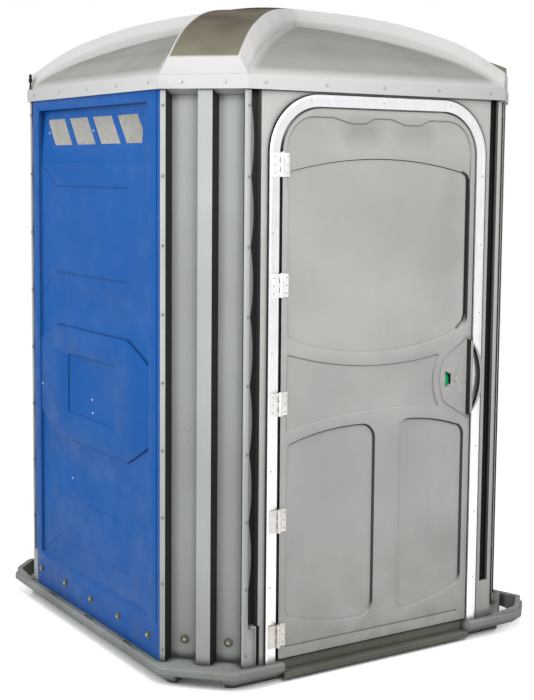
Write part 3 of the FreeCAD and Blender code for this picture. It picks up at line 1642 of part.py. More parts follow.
def roll_spans():
    start = roll_y - roll_long - roll_gap / 2
    return [(start, start + roll_long), (start + roll_long + roll_gap, start + 2 * roll_long + roll_gap)]


def holder_span():
    spans = roll_spans()
    return spans[0][0] - holder_end, spans[-1][1] + holder_end


def roll_rod(radius, y0, y1):
    return rod(radius, V(roll_x, y0, roll_z), V(roll_x, y1, roll_z))


def paper_holder():
    y0, y1 = holder_span()
    face_x = lining_half - holder_thick
    back = block(face_x, lining_half, y0, y1, roll_z - holder_half_high, roll_z + holder_half_high)
    arm_outline = [
        (roll_x - holder_arm_half, roll_z - holder_arm_half), (face_x + 1.0, roll_z - holder_arm_root_half),
        (face_x + 1.0, roll_z + holder_arm_root_half), (roll_x - holder_arm_half, roll_z + holder_arm_half)]
    arms = []
    for y in (y0, y1 - holder_arm_thick):
        arms.append(upright_plate(arm_outline, y, y + holder_arm_thick, [20.0, 4.0, 4.0, 20.0]))
    hood_inner_x = roll_x - roll_r - hood_room
    hood_outer_x = hood_inner_x - hood_thick
    hood_end_z = roll_z + 10.0
    hood_top_z = roll_z + holder_half_high
    hood = curve_plate([
        ((face_x, hood_top_z), (roll_x - 30.0, roll_z + 66.0), (hood_outer_x, hood_end_z)),
        ((hood_outer_x, hood_end_z), (hood_inner_x, hood_end_z)),
        ((hood_inner_x, hood_end_z), (roll_x - 27.5, roll_z + 62.5), (face_x, hood_top_z - hood_thick)),
        ((face_x, hood_top_z - hood_thick), (face_x, hood_top_z)),
    ], y0, y1)
    return fuse([back, hood] + arms).cut(roll_rod(spindle_end_r, y0, y1))


def paper_spindle():
    y0, y1 = holder_span()
    inset = holder_end - spindle_end_room
    thick = roll_rod(roll_core_r - running_gap, y0 + inset, y1 - inset)
    return fuse([roll_rod(spindle_end_r, y0, y1), thick])


def paper_roll(index):
    y0, y1 = roll_spans()[index]
    return roll_rod(roll_r, y0, y1).cut(roll_rod(roll_core_r, y0, y1))


def coat_hook():
    x = -lining_half
    root = x + hook_plate_thick
    z = hook_bottom_z
    plate = block(x, root, -hook_plate_half, hook_plate_half, z, z + hook_plate_high)
    profile = [
        (root, z + 28.0), (x + 30.0, z + 22.0), (x + 42.0, z + 36.0), (x + 42.0, z + 60.0),
        (x + 34.0, z + 60.0), (x + 34.0, z + 40.0), (x + 27.0, z + 32.0), (root, z + 40.0)]
    arm = upright_plate(profile, -hook_arm_half, hook_arm_half)
    return fuse([plate, arm])


def export(name, shape):
    solids = shape.Solids
    result = solids[0] if len(solids) == 1 else Part.makeCompound(solids)
    result.exportStep("parts/" + name + ".step")
    print(name, len(solids), "valid", result.isValid(), "litres", round(result.Volume / 1e6, 3))


def main():
    panel = wall_panel()
    grilles = vent_grilles()
    corner = corner_panel()
    export("base_skid", base_skid())
    export("sill_plate", sill_plate())
    for place, degrees in (("front_left", 0), ("front_right", 90), ("back_right", 180), ("back_left", 270)):
        export("corner_panel_" + place, turned(corner, degrees))
    for side, degrees in (("left", -90), ("right", 90), ("back", 180)):
        export("wall_panel_" + side, turned(panel, degrees))
        export("vent_grilles_" + side, turned(grilles, degrees))
    export("front_panel", front_panel())
    export("door_frame", door_frame())
    export("frame_rivets", frame_rivets())
    export("roof_shell", roof_shell())
    export("roof_screws", roof_screws())
    export("tie_stud", tie_stud())
    export("flange_screws", flange_screws())
    export("base_washers", base_washers())
    export("base_bolts", base_bolts())
    export("door_skin_outer", door_skin_outer())
    export("door_skin_inner", door_skin_inner())
    export("pull_handle", pull_handle())
    export("hinge_frame_leaves", hinge_frame_leaves())
    export("hinge_door_leaves", hinge_door_leaves())
    export("hinge_pins", hinge_pins())
    frame_rivet_x = hinge_x - hinge_leaf_wide + frame_leaf_rivet_inset
    export("hinge_frame_rivets", hinge_rivets(frame_rivet_x, bead_face_y - hinge_leaf_thick))
    door_rivet_x = hinge_x + door_leaf_wide - door_leaf_rivet_inset
    export("hinge_door_rivets", hinge_rivets(door_rivet_x, door_face_y - hinge_leaf_thick))
    export("latch_spindle", latch_spindle())
    export("occupancy_sector_free", disc_sector(135.0, 225.0))
    export("occupancy_sector_engaged", disc_sector(45.0, 135.0))
    export("latch_knob", latch_knob())
    export("latch_case", latch_case())
    export("latch_bolt", latch_bolt())
    export("strike_plate", strike_plate())
    export("floor_deck", floor_deck())
    export("waste_tank", waste_tank())
    export("seat_ring", seat_ring())
    export("seat_lid", seat_lid())
    export("seat_brackets", seat_brackets())
    export("seat_pins", seat_pins())
    export("vent_stack", vent_stack())
    export("vent_cap", vent_cap())
    export("stack_clips", stack_clips())
    export("grab_rail_right", side_rail(1, right_rail_span))
    export("grab_rail_back", back_rail())
    export("grab_rail_left", side_rail(-1, left_rail_span))
    export("paper_holder", paper_holder())
    export("paper_spindle", paper_spindle())
    export("paper_roll_front", paper_roll(0))
    export("paper_roll_rear", paper_roll(1))
    export("coat_hook", coat_hook())


main()
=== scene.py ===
# %% [markdown]
# A portable toilet cabin, dressed for a picture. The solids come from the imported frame, at their real
# size in metres, and every one of them keeps its place. This script gives them their finishes, rounds
# their moulded edges, adds the trim that is too fine for the solids, and sets the floor, the light and
# the camera of the photograph.

# %% Load the frame
import math

import bmesh
import bpy
from mathutils import Matrix, Vector
from mathutils.bvhtree import BVHTree


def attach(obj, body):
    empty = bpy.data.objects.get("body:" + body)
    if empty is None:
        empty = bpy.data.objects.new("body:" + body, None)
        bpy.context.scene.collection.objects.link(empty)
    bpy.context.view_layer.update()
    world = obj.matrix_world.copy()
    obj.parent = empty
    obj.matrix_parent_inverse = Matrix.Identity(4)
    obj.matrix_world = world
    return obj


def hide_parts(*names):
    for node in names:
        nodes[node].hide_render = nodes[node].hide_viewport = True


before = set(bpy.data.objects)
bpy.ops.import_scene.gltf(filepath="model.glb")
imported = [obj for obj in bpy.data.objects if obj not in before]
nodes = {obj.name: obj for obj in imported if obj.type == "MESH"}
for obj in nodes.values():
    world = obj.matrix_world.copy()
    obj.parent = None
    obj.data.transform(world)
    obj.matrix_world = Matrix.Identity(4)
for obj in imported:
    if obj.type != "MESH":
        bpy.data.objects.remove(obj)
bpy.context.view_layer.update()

# %% [markdown]
# The camera comes first, so that every later choice can be judged from it. Its place and lens were
# worked out from the photograph: it stands at eye height, to the left of the door, and looks slightly
# down. The optical axis lies above the middle of the picture, which a small vertical shift repeats.

# %% Camera
PICTURE_WIDTH, PICTURE_HEIGHT = 534, 700
FOCAL_PIXELS = 1350.5
AXIS_ROW = 307.0
SENSOR = 36.0
CAMERA_PLACE = Vector((-2.8938, -4.5659, 1.7567))
CAMERA_YAW = 0.5673
CAMERA_PITCH = -0.0992
CAMERA_ROLL = 0.0087

forward = Vector((
    math.sin(CAMERA_YAW) * math.cos(CAMERA_PITCH),
    math.cos(CAMERA_YAW) * math.cos(CAMERA_PITCH),
    math.sin(CAMERA_PITCH),
))
level_right = Vector((math.cos(CAMERA_YAW), -math.sin(CAMERA_YAW), 0.0))
level_up = level_right.cross(forward)
right = math.cos(CAMERA_ROLL) * level_right + math.sin(CAMERA_ROLL) * level_up
up = math.cos(CAMERA_ROLL) * level_up - math.sin(CAMERA_ROLL) * level_right

lens = bpy.data.cameras.new("photo_camera")
lens.sensor_width = SENSOR
lens.lens = SENSOR * FOCAL_PIXELS / max(PICTURE_WIDTH, PICTURE_HEIGHT)
lens.shift_y = (AXIS_ROW - PICTURE_HEIGHT / 2) / PICTURE_HEIGHT
lens.clip_end = 60.0
camera = bpy.data.objects.new("photo_camera", lens)
camera.matrix_world = Matrix((
    (right.x, up.x, -forward.x, CAMERA_PLACE.x),
    (right.y, up.y, -forward.y, CAMERA_PLACE.y),
    (right.z, up.z, -forward.z, CAMERA_PLACE.z),
    (0.0, 0.0, 0.0, 1.0),
))
bpy.context.scene.collection.objects.link(camera)
bpy.context.scene.camera = camera
print("lens", round(lens.lens, 1), "mm, shift", round(lens.shift_y, 3))

# %% [markdown]
# The photograph is cut out on pure white, with soft light from above and from the front left. A pale
# dome of light does much of it. Only what the camera, mirrors and glass see of the world and floor is
# made white, so that the lamps can stay at a plain level. The floor adds a little white of its own
# there, except in the tow notches and under the base, and still takes the cabin's shadow.

# %% What sees the backdrop
scene = bpy.context.scene
scene.view_settings.view_transform = "Standard"


def seen_directly(tree):
    """1 for the rays of the camera, of mirrors and of glass, 0 for the light that fills the scene."""
    path = tree.nodes.new("ShaderNodeLightPath")
    direct = path.outputs["Is Camera Ray"]
    for kind in ("Is Glossy Ray", "Is Transmission Ray"):
        either = tree.nodes.new("ShaderNodeMath")
        either.operation = "MAXIMUM"
        tree.links.new(direct, either.inputs[0])
        tree.links.new(path.outputs[kind], either.inputs[1])
        direct = either.outputs["Value"]
    return direct


def by_ray(tree, filling, shown):
    """One shader for the light that fills the scene, and another for what is seen directly."""
    blend = tree.nodes.new("ShaderNodeMixShader")
    tree.links.new(seen_directly(tree), blend.inputs["Fac"])
    tree.links.new(filling, blend.inputs[1])
    tree.links.new(shown, blend.inputs[2])
    return blend.outputs["Shader"]


print("backdrop and light are told apart by the kind of ray")

# %% World
WORLD_COLOUR, WORLD_LEVEL = (0.97, 0.985, 1.0), 0.43
BACKDROP_COLOUR, BACKDROP_LEVEL = (1.0, 1.0, 1.0), 1.0


def background(tree, colour, strength):
    """Light of one colour and strength from all round."""
    node = tree.nodes.new("ShaderNodeBackground")
    node.inputs["Color"].default_value = (*colour, 1.0)
    node.inputs["Strength"].default_value = strength
    return node.outputs["Background"]


world = bpy.data.worlds.new("pale_studio")
scene.world = world
world.use_nodes = True
tree = world.node_tree
tree.nodes.clear()
lit = background(tree, WORLD_COLOUR, WORLD_LEVEL)
backdrop = background(tree, BACKDROP_COLOUR, BACKDROP_LEVEL)
out = tree.nodes.new("ShaderNodeOutputWorld")
tree.links.new(by_ray(tree, lit, backdrop), out.inputs["Surface"])
print("world level", WORLD_LEVEL, "behind a backdrop of", BACKDROP_LEVEL)

# %% Floor
FLOOR_HALF = 14.0
FLOOR_PLAIN, FLOOR_SHOWN = 0.5, 0.8
FLOOR_GLOW = 0.66
NOTCH_REACH = 0.12
NOTCH_CLOSED, NOTCH_OPEN = 0.2, 0.5

floor_mesh = bmesh.new()
bmesh.ops.create_grid(floor_mesh, x_segments=1, y_segments=1, size=FLOOR_HALF)
floor_data = bpy.data.meshes.new("floor")
floor_mesh.to_mesh(floor_data)
floor_mesh.free()
floor = bpy.data.objects.new("floor", floor_data)
scene.collection.objects.link(floor)
floor_look = bpy.data.materials.new("pale_floor")
floor_look.use_nodes = True
tree = floor_look.node_tree
plain = tree.nodes["Principled BSDF"]
plain.inputs["Base Color"].default_value = (FLOOR_PLAIN, FLOOR_PLAIN, FLOOR_PLAIN, 1.0)
plain.inputs["Roughness"].default_value = 0.9
shown = tree.nodes.new("ShaderNodeBsdfDiffuse")
shown.inputs["Color"].default_value = (FLOOR_SHOWN, FLOOR_SHOWN, FLOOR_SHOWN, 1.0)
glow = tree.nodes.new("ShaderNodeEmission")
under = tree.nodes.new("ShaderNodeAmbientOcclusion")
under.samples = 4
under.inputs["Distance"].default_value = NOTCH_REACH
lifted = tree.nodes.new("ShaderNodeMapRange")
lifted.inputs["From Min"].default_value = NOTCH_CLOSED
lifted.inputs["From Max"].default_value = NOTCH_OPEN
lifted.inputs["To Max"].default_value = FLOOR_GLOW
tree.links.new(under.outputs["AO"], lifted.inputs["Value"])
tree.links.new(lifted.outputs["Result"], glow.inputs["Strength"])
both = tree.nodes.new("ShaderNodeAddShader")
tree.links.new(shown.outputs["BSDF"], both.inputs[0])
tree.links.new(glow.outputs["Emission"], both.inputs[1])
floor_shader = by_ray(tree, plain.outputs["BSDF"], both.outputs["Shader"])
tree.links.new(floor_shader, tree.nodes["Material Output"].inputs["Surface"])
floor_data.materials.append(floor_look)
print("floor", 2 * FLOOR_HALF, "m square")

# %% [markdown]
# Three square soft boxes do the modelling. The key stands in front, a little to the left of the door,
# and draws the edges of its recesses. The fill lights the blue wall, and a weak one above lifts the
# crown of the roof. None of them shows in the picture.

# %% Lamps
DOOR_HEAD = (-0.3, -0.8, 1.7)
LEFT_WALL = (-0.77, 0.0, 1.2)
CROWN = (0.0, 0.0, 2.2)


def soft_lamp(name, place, aim, size, watts, colour):
    """A square soft box that looks at a point of the cabin and stays out of the picture."""
    data = bpy.data.lights.new(name, "AREA")
    data.shape = "SQUARE"
    data.size = size
    data.energy = watts
    data.color = colour
    lamp = bpy.data.objects.new(name, data)
    lamp.location = place
    lamp.rotation_euler = (Vector(aim) - Vector(place)).to_track_quat("-Z", "Y").to_euler()
    lamp.visible_camera = False
    scene.collection.objects.link(lamp)


soft_lamp("key_front", (-0.8, -3.5, 3.1), DOOR_HEAD, 1.5, 78.0, (1.0, 0.985, 0.96))
soft_lamp("fill_left", (-4.2, -0.6, 2.7), LEFT_WALL, 2.4, 92.0, (0.97, 0.985, 1.0))
soft_lamp("sky_top", (0.4, 0.8, 5.6), CROWN, 3.0, 24.0, (1.0, 1.0, 1.0))

# %% [markdown]
# Most of the cabin is moulded or formed plastic. Such sheet is never one flat colour: the pigment
# clouds a little, the surface has a fine orange peel, rain leaves faint streaks, and dirt gathers
# towards the ground. Grooves, recesses and creases get painted shade. One recipe makes them all, with
# its own colours and grain size for each piece. First come the small helpers that the recipe is written
# with. Most of them add a few nodes to a material and give back the socket with their answer, so that a
# finish reads like a sum.

# %% Sums and noise


def fresh(name):
    """A new material with its node tree and shader."""
    look = bpy.data.materials.new(name)
    look.use_nodes = True
    return look, look.node_tree, look.node_tree.nodes["Principled BSDF"]


def reckon(tree, operation, first, second=0.0):
    """One sum on two values, each a socket or a number."""
    node = tree.nodes.new("ShaderNodeMath")
    node.operation = operation
    for index, value in enumerate((first, second)):
        if isinstance(value, bpy.types.NodeSocket):
            tree.links.new(value, node.inputs[index])
        else:
            node.inputs[index].default_value = value
    return node.outputs["Value"]


def noise(tree, scale, detail=3.0, stretch=(1.0, 1.0, 1.0)):
    """Noise on the object's own metres, drawn out along an axis by stretch."""
    place = tree.nodes.new("ShaderNodeTexCoord")
    mapping = tree.nodes.new("ShaderNodeMapping")
    mapping.inputs["Scale"].default_value = stretch
    tree.links.new(place.outputs["Object"], mapping.inputs["Vector"])
    texture = tree.nodes.new("ShaderNodeTexNoise")
    texture.inputs["Scale"].default_value = scale
    texture.inputs["Detail"].default_value = detail
    tree.links.new(mapping.outputs["Vector"], texture.inputs["Vector"])
    return texture.outputs["Fac"]


print("noise is measured in metres of the piece")

# %% Colours over a value


def ramp(tree, source, low, high, low_colour, high_colour):
    """Two colours over a stretch of a value."""
    node = tree.nodes.new("ShaderNodeValToRGB")
    node.color_ramp.elements[0].position = low
    node.color_ramp.elements[1].position = high
    node.color_ramp.elements[0].color = (*low_colour, 1.0)
    node.color_ramp.elements[1].color = (*high_colour, 1.0)
    tree.links.new(source, node.inputs["Fac"])
    return node.outputs["Color"]


def mix(tree, factor, first, second):
    """Mixes two colours, each a socket or a plain colour, by a factor that may be a socket."""
    node = tree.nodes.new("ShaderNodeMix")
    node.data_type = "RGBA"
    for index, value in ((0, factor), (6, first), (7, second)):
        if isinstance(value, bpy.types.NodeSocket):
            tree.links.new(value, node.inputs[index])
        elif index:
            node.inputs[index].default_value = (*value, 1.0)
        else:
            node.inputs[index].default_value = value
    return node.outputs[2]


def spread(tree, source, low, high, to_low, to_high):
    """Maps a value's stretch to another stretch."""
    node = tree.nodes.new("ShaderNodeMapRange")
    node.inputs["From Min"].default_value = low
    node.inputs["From Max"].default_value = high
    node.inputs["To Min"].default_value = to_low
    node.inputs["To Max"].default_value = to_high
    tree.links.new(source, node.inputs["Value"])
    return node.outputs["Result"]


def shade(colour, factor):
    """The same colour, darker or lighter."""
    return tuple(min(1.0, c * factor) for c in colour)


print("a half tone of (0.6, 0.4, 0.2) is", shade((0.6, 0.4, 0.2), 0.5))

# %% Places, turns and hollows


def place_parts(tree):
    """The x, y and z of the object's own metres."""
    place = tree.nodes.new("ShaderNodeTexCoord")
    parts = tree.nodes.new("ShaderNodeSeparateXYZ")
    tree.links.new(place.outputs["Object"], parts.inputs["Vector"])
    return parts.outputs


def facing(tree, axis, signed=False):
    """How squarely the surface faces along an axis, from 0 to 1, or from -1 to 1 with a sign."""
    place = tree.nodes.new("ShaderNodeTexCoord")
    node = tree.nodes.new("ShaderNodeVectorMath")
    node.operation = "DOT_PRODUCT"
    node.inputs[1].default_value = axis
    tree.links.new(place.outputs["Normal"], node.inputs[0])
    turned = node.outputs["Value"]
    return turned if signed else reckon(tree, "ABSOLUTE", turned)


def hollow(tree, reach, open_share, closed_share):
    """0 on open surfaces and 1 deep in a groove or corner, looking as far as reach."""
    node = tree.nodes.new("ShaderNodeAmbientOcclusion")
    node.samples = 4
    node.inputs["Distance"].default_value = reach
    return spread(tree, node.outputs["AO"], closed_share, open_share, 1.0, 0.0)


print("a finish can ask where a point is, which way it faces, and how hidden it is")

# %% Lines and relief


def near_lines(tree, across, up, lines, wide):
    """On each of some straight lines of a panel its weight, fading to 0 at a distance of wide."""
    place = tree.nodes.new("ShaderNodeCombineXYZ")
    tree.links.new(across, place.inputs["X"])
    tree.links.new(up, place.inputs["Y"])
    best = 0.0
    for (x0, z0), (x1, z1), weight in lines:
        run = Vector((x1 - x0, z1 - z0, 0.0))
        offset = tree.nodes.new("ShaderNodeVectorMath")
        offset.operation = "SUBTRACT"
        tree.links.new(place.outputs["Vector"], offset.inputs[0])
        offset.inputs[1].default_value = (x0, z0, 0.0)
        ahead = tree.nodes.new("ShaderNodeVectorMath")
        ahead.operation = "DOT_PRODUCT"
        tree.links.new(offset.outputs["Vector"], ahead.inputs[0])
        ahead.inputs[1].default_value = run / run.length_squared
        share = spread(tree, ahead.outputs["Value"], 0.0, 1.0, 0.0, 1.0)
        nearest = tree.nodes.new("ShaderNodeVectorMath")
        nearest.operation = "MULTIPLY_ADD"
        tree.links.new(share, nearest.inputs[0])
        nearest.inputs[1].default_value = -run
        tree.links.new(offset.outputs["Vector"], nearest.inputs[2])
        distance = tree.nodes.new("ShaderNodeVectorMath")
        distance.operation = "LENGTH"
        tree.links.new(nearest.outputs["Vector"], distance.inputs[0])
        here = spread(tree, distance.outputs["Value"], 0.0, wide, weight, 0.0)
        best = reckon(tree, "MAXIMUM", best, here)
    return best


def bumped(tree, shader, source, strength, distance):
    """Lets a value press fine relief into the shaded surface."""
    node = tree.nodes.new("ShaderNodeBump")
    node.inputs["Strength"].default_value = strength
    node.inputs["Distance"].default_value = distance
    tree.links.new(source, node.inputs["Height"])
    tree.links.new(node.outputs["Normal"], shader.inputs["Normal"])


print("helpers ready")

# %% [markdown]
# Each step of the recipe is a small function. The pigment is clouded and streaked. Soil gathers at the
# foot. The sides of grooves and recesses, which turn away from the panel's own axis, and their closed
# floors get the darkest painted shade. Ledges that look up are left without it, as painted light from
# above. Lines of painted shade along the creases of a panel come last, and the deep grooves of the
# front get painted black shade.

# %% Axes and shared measures
COS_45 = math.sqrt(0.5)
UP_AXIS = (0.0, 0.0, 1.0)
FRONT_AXIS = (0.0, 1.0, 0.0)
SIDE_AXIS = (1.0, 0.0, 0.0)
NEAR_DIAGONAL = (COS_45, COS_45, 0.0)
FAR_DIAGONAL = (COS_45, -COS_45, 0.0)
SOIL = (0.16, 0.15, 0.12)
DARK = (0.012, 0.013, 0.012)
MIDDLE, WIDE_MIDDLE = (0.35, 0.65), (0.3, 0.7)
print("the corner panels face", [round(v, 3) for v in NEAR_DIAGONAL])

# %% Pigment and soil
CLOUD_NOISE = (3.2, 5.0)
STREAK_NOISE = (26.0, 4.0, (1.0, 1.0, 0.06))
STREAK_MOST, STREAK_TONE = 0.22, 0.86
SOIL_NOISE = (9.0, 6.0)
SOIL_HEIGHT = 0.55


def pigment(tree, colour, cloud):
    """The plastic's own colour, clouded, with faint upright streaks."""
    pale, rich = shade(colour, 1.0 + cloud), shade(colour, 1.0 - cloud)
    clouds = ramp(tree, noise(tree, *CLOUD_NOISE), *MIDDLE, rich, pale)
    streaks = spread(tree, noise(tree, *STREAK_NOISE), 0.45, 0.8, 0.0, STREAK_MOST)
    return mix(tree, streaks, clouds, shade(colour, STREAK_TONE))


def soiled(tree, surface, dirt):
    """Soil in blotches that fade out with the height above the ground."""
    foot = spread(tree, place_parts(tree)["Z"], 0.0, SOIL_HEIGHT, dirt, 0.0)
    blotch = spread(tree, noise(tree, *SOIL_NOISE), 0.35, 0.75, 0.2, 1.0)
    return mix(tree, reckon(tree, "MULTIPLY", foot, blotch), surface, SOIL)


print("soil reaches", SOIL_HEIGHT, "m up")

# %% Painted shade in grooves and creases
LIT_FROM_ABOVE_AT, LEVEL_AT = (0.1, 0.6), (0.7, 0.9)
LOOKS_FORWARD = (-0.8, -0.5)
GROOVES_FROM, GROOVE_FADE = -0.755, 0.004
FAR_GROOVE = 0.494


def steepness(tree, axis, turns, share, level_ends):
    """The share of painted shade on faces that turn away from the panel's own axis.

    Ledges that look up are left without it, as painted light from above. With level_ends only nearly
    level ones are left without it, and those that look down as well."""
    steep = spread(tree, facing(tree, axis), *turns, share, 0.0)
    if axis is UP_AXIS:
        return steep
    up = facing(tree, UP_AXIS, signed=not level_ends)
    shade_kept = spread(tree, up, *(LEVEL_AT if level_ends else LIT_FROM_ABOVE_AT), 1.0, 0.0)
    return reckon(tree, "MULTIPLY", steep, shade_kept)


def paint_shade_lines(tree, surface, tone, axis, lines, wide):
    """Paints shade on lines of a panel, placed along y on the side walls and along x elsewhere."""
    parts = place_parts(tree)
    along = parts["Y"] if axis is SIDE_AXIS else parts["X"]
    return mix(tree, near_lines(tree, along, parts["Z"], lines, wide), surface, tone)


def paint_groove_shade(tree, surface):
    """Painted black shade on the floors of the front's deep grooves, and on all of the far one."""
    parts = place_parts(tree)
    behind = spread(tree, parts["Y"], GROOVES_FROM, GROOVES_FROM + GROOVE_FADE, 0.0, 1.0)
    forward_face = spread(tree, facing(tree, FRONT_AXIS, signed=True), *LOOKS_FORWARD, 1.0, 0.0)
    far_side = spread(tree, parts["X"], FAR_GROOVE - GROOVE_FADE, FAR_GROOVE, 0.0, 1.0)
    shown = reckon(tree, "MAXIMUM", forward_face, far_side)
    return mix(tree, reckon(tree, "MULTIPLY", behind, shown), surface, DARK)


# The front's grooves get painted black shade from this depth back.
front_face = min(vertex.co.y for vertex in nodes["front_panel"].data.vertices)
print("the front's grooves are black from", round(1000 * (GROOVES_FROM - front_face), 1), "mm deep")

# %% Plastic recipe
# Width and tone of the soft bands of painted shade.
SHADE_BAND_WIDE, SHADE_BAND_TONE = 0.075, 0.3
GLOSS_NOISE = (14.0, 5.0)
GRAIN_STRENGTH = 0.35


def moulded(name, colour, axis=None, cloud=0.08, grain=420.0, grain_depth=0.00025,
            gloss=(0.42, 0.58), sheen=0.22, dirt=0.25, deep=0.14, reach=0.035,
            steep_at=(0.6, 0.9), steep_share=0.96, closed_at=(0.88, 0.5), hollow_share=0.8,
            level_ends=False, lines=(), shade_line_wide=0.006, shade_line_tone=0.2, shade_bands=(),
            grooves_shaded=False):
    """Moulded plastic, with soil at the foot and painted shade that follows its own form.

    steep_at holds the turns at which the painted shade of steep faces is full and gone, and closed_at
    how open a corner is where its painted shade is gone and full. The lines are creases of the panel,
    each as two places on it and a weight, along which shade is painted. The shade bands are wide
    painted shades in the same form."""
    look, tree, shader = fresh(name)
    surface = soiled(tree, pigment(tree, colour, cloud), dirt)
    if axis:
        # Painted shade: steep faces and closed corners turn to the colour times deep.
        steep = steepness(tree, axis, steep_at, steep_share, level_ends)
        closed = reckon(tree, "MULTIPLY", hollow(tree, reach, *closed_at), hollow_share)
        surface = mix(tree, reckon(tree, "MAXIMUM", steep, closed), surface, shade(colour, deep))
    if lines:
        surface = paint_shade_lines(tree, surface, shade(colour, shade_line_tone), axis, lines, shade_line_wide)
    if shade_bands:
        surface = paint_shade_lines(tree, surface, shade(colour, SHADE_BAND_TONE), axis, shade_bands, SHADE_BAND_WIDE)
    if grooves_shaded:
        surface = paint_groove_shade(tree, surface)
    tree.links.new(surface, shader.inputs["Base Color"])
    rough = spread(tree, noise(tree, *GLOSS_NOISE), *WIDE_MIDDLE, *gloss)
    tree.links.new(rough, shader.inputs["Roughness"])
    bumped(tree, shader, noise(tree, grain, 2.0), GRAIN_STRENGTH, grain_depth)
    shader.inputs["Specular IOR Level"].default_value = sheen
    return look


print("layers of a plastic: pigment, soil, grooves, creases, grain")

# %% [markdown]
# Each blue wall has a raised field at the top and at the foot, and a plateau with a shallow tray
# between them. Their slopes are so flat that only lines of painted shade along their creases draw them.
# Each crease is a line from one corner of the form to the next, and a corner is a place across the wall
# and a height. The door has fewer: a painted shadow along the far edge of its upper recess, and soft
# bands of painted shade beside and above it.

# %% Creases of the walls
RELIEF_HALF, FIELD_HALF = 0.303, 0.466
UPPER_RELIEF = (1.264, 1.366, 1.698, 1.784)
LOWER_RELIEF = (0.217, 0.315, 0.495, 0.590)
PLATEAU_ENDS, PLATEAU_MIDDLE = (0.803, 1.089), (0.72, 1.16)
TRAY_HALF, TRAY_FOOT, TRAY_HEAD = 0.2, 0.828, 1.055


def relief_lines(heights, weights):
    """The creases of one raised field: its two level edges, its sides, and the four at its corners."""
    foot, low, high, head = heights
    low_weight, high_weight, far_share, near_share = weights
    return [
        ((-RELIEF_HALF, low), (RELIEF_HALF, low), low_weight),
        ((-RELIEF_HALF, high), (RELIEF_HALF, high), high_weight),
        ((RELIEF_HALF, low), (FIELD_HALF, foot), low_weight * far_share),
        ((RELIEF_HALF, high), (FIELD_HALF, head), high_weight * far_share),
        ((-RELIEF_HALF, low), (-FIELD_HALF, foot), low_weight * near_share),
        ((-RELIEF_HALF, high), (-FIELD_HALF, head), high_weight * near_share),
        ((-RELIEF_HALF, low), (-RELIEF_HALF, high), 0.1),
        ((RELIEF_HALF, low), (RELIEF_HALF, high), 0.14),
    ]


def plateau_lines():
    """The near ends and level edges of the plateau, and two edges of its tray."""
    (end_low, end_high), (low, high) = PLATEAU_ENDS, PLATEAU_MIDDLE
    return [
        ((-FIELD_HALF, end_low), (-RELIEF_HALF, low), 0.4),
        ((-RELIEF_HALF, low), (RELIEF_HALF, low), 0.34),
        ((-FIELD_HALF, end_high), (-RELIEF_HALF, high), 0.4),
        ((-RELIEF_HALF, high), (RELIEF_HALF, high), 0.3),
        ((-TRAY_HALF, TRAY_HEAD), (TRAY_HALF, TRAY_HEAD), 0.5),
        ((TRAY_HALF, TRAY_HEAD), (TRAY_HALF, TRAY_FOOT), 0.45),
    ]


BLUE_LINES = relief_lines(UPPER_RELIEF, (0.5, 0.5, 1.0, 0.3))
BLUE_LINES += relief_lines(LOWER_RELIEF, (0.3, 0.24, 1.4, 0.3))
BLUE_LINES += plateau_lines()
print(len(BLUE_LINES), "creases on each blue wall")

# %% Creases of the door
# DOOR_EDGE is a painted shadow along the recess edge; DOOR_SHADES are soft bands of painted shade.
EDGE_X = 0.401
DOOR_EDGE = (
    ((EDGE_X, 1.245), (EDGE_X, 1.735), 1.8),
    ((EDGE_X, 1.735), (EDGE_X - 0.006, 1.752), 1.4),
    ((EDGE_X - 0.006, 1.752), (EDGE_X - 0.024, 1.764), 1.0),
    ((EDGE_X, 1.245), (EDGE_X - 0.008, 1.218), 1.3),
    ((EDGE_X - 0.008, 1.218), (EDGE_X - 0.036, 1.193), 0.8),
)
DOOR_SHADES = (
    ((-0.12, 1.905), (-0.045, 1.905), 0.36),
    ((0.115, 1.905), (0.195, 1.905), 0.28),
    ((-0.30, 1.955), (0.36, 1.955), 0.08),
    ((0.30, 1.25), (0.34, 1.75), 0.1),
)
print(len(DOOR_EDGE), "creases and", len(DOOR_SHADES), "shades on the door")

# %% [markdown]
# The colours were found by rendering, and by comparing each region of the picture with the photograph.
# The blue walls at the sides and the one at the back have a finish each, and so have the corners on the
# two diagonals, because the recipe has to know which way a panel faces.

# %% Plastics
BLUE = (0.0105, 0.108, 0.40)
CORNER_GREY = (0.475, 0.495, 0.475)
FRONT_GREY = (0.52, 0.52, 0.505)
DOOR_GREY = (0.465, 0.466, 0.455)
BASE_GREY = (0.31, 0.33, 0.31)
SILL_GREY = (0.17, 0.175, 0.145)
TANK_BLACK = (0.035, 0.036, 0.04)
PIPE_WHITE = (0.62, 0.62, 0.60)
DECK_GREY = (0.11, 0.115, 0.11)
# deep, steep_at, hollow_share and lines set each plastic's painted shade.
BLUE_WAYS = dict(
    cloud=0.04, grain=500.0, sheen=0.1, deep=0.45, steep_at=(0.78, 0.97), hollow_share=0.5,
    lines=BLUE_LINES)
GREY_WAYS = dict(cloud=0.05, grain=380.0, sheen=0.12, dirt=0.35)
CORNER_WAYS = dict(deep=0.01, steep_at=(0.48, 0.66), level_ends=True, **GREY_WAYS)

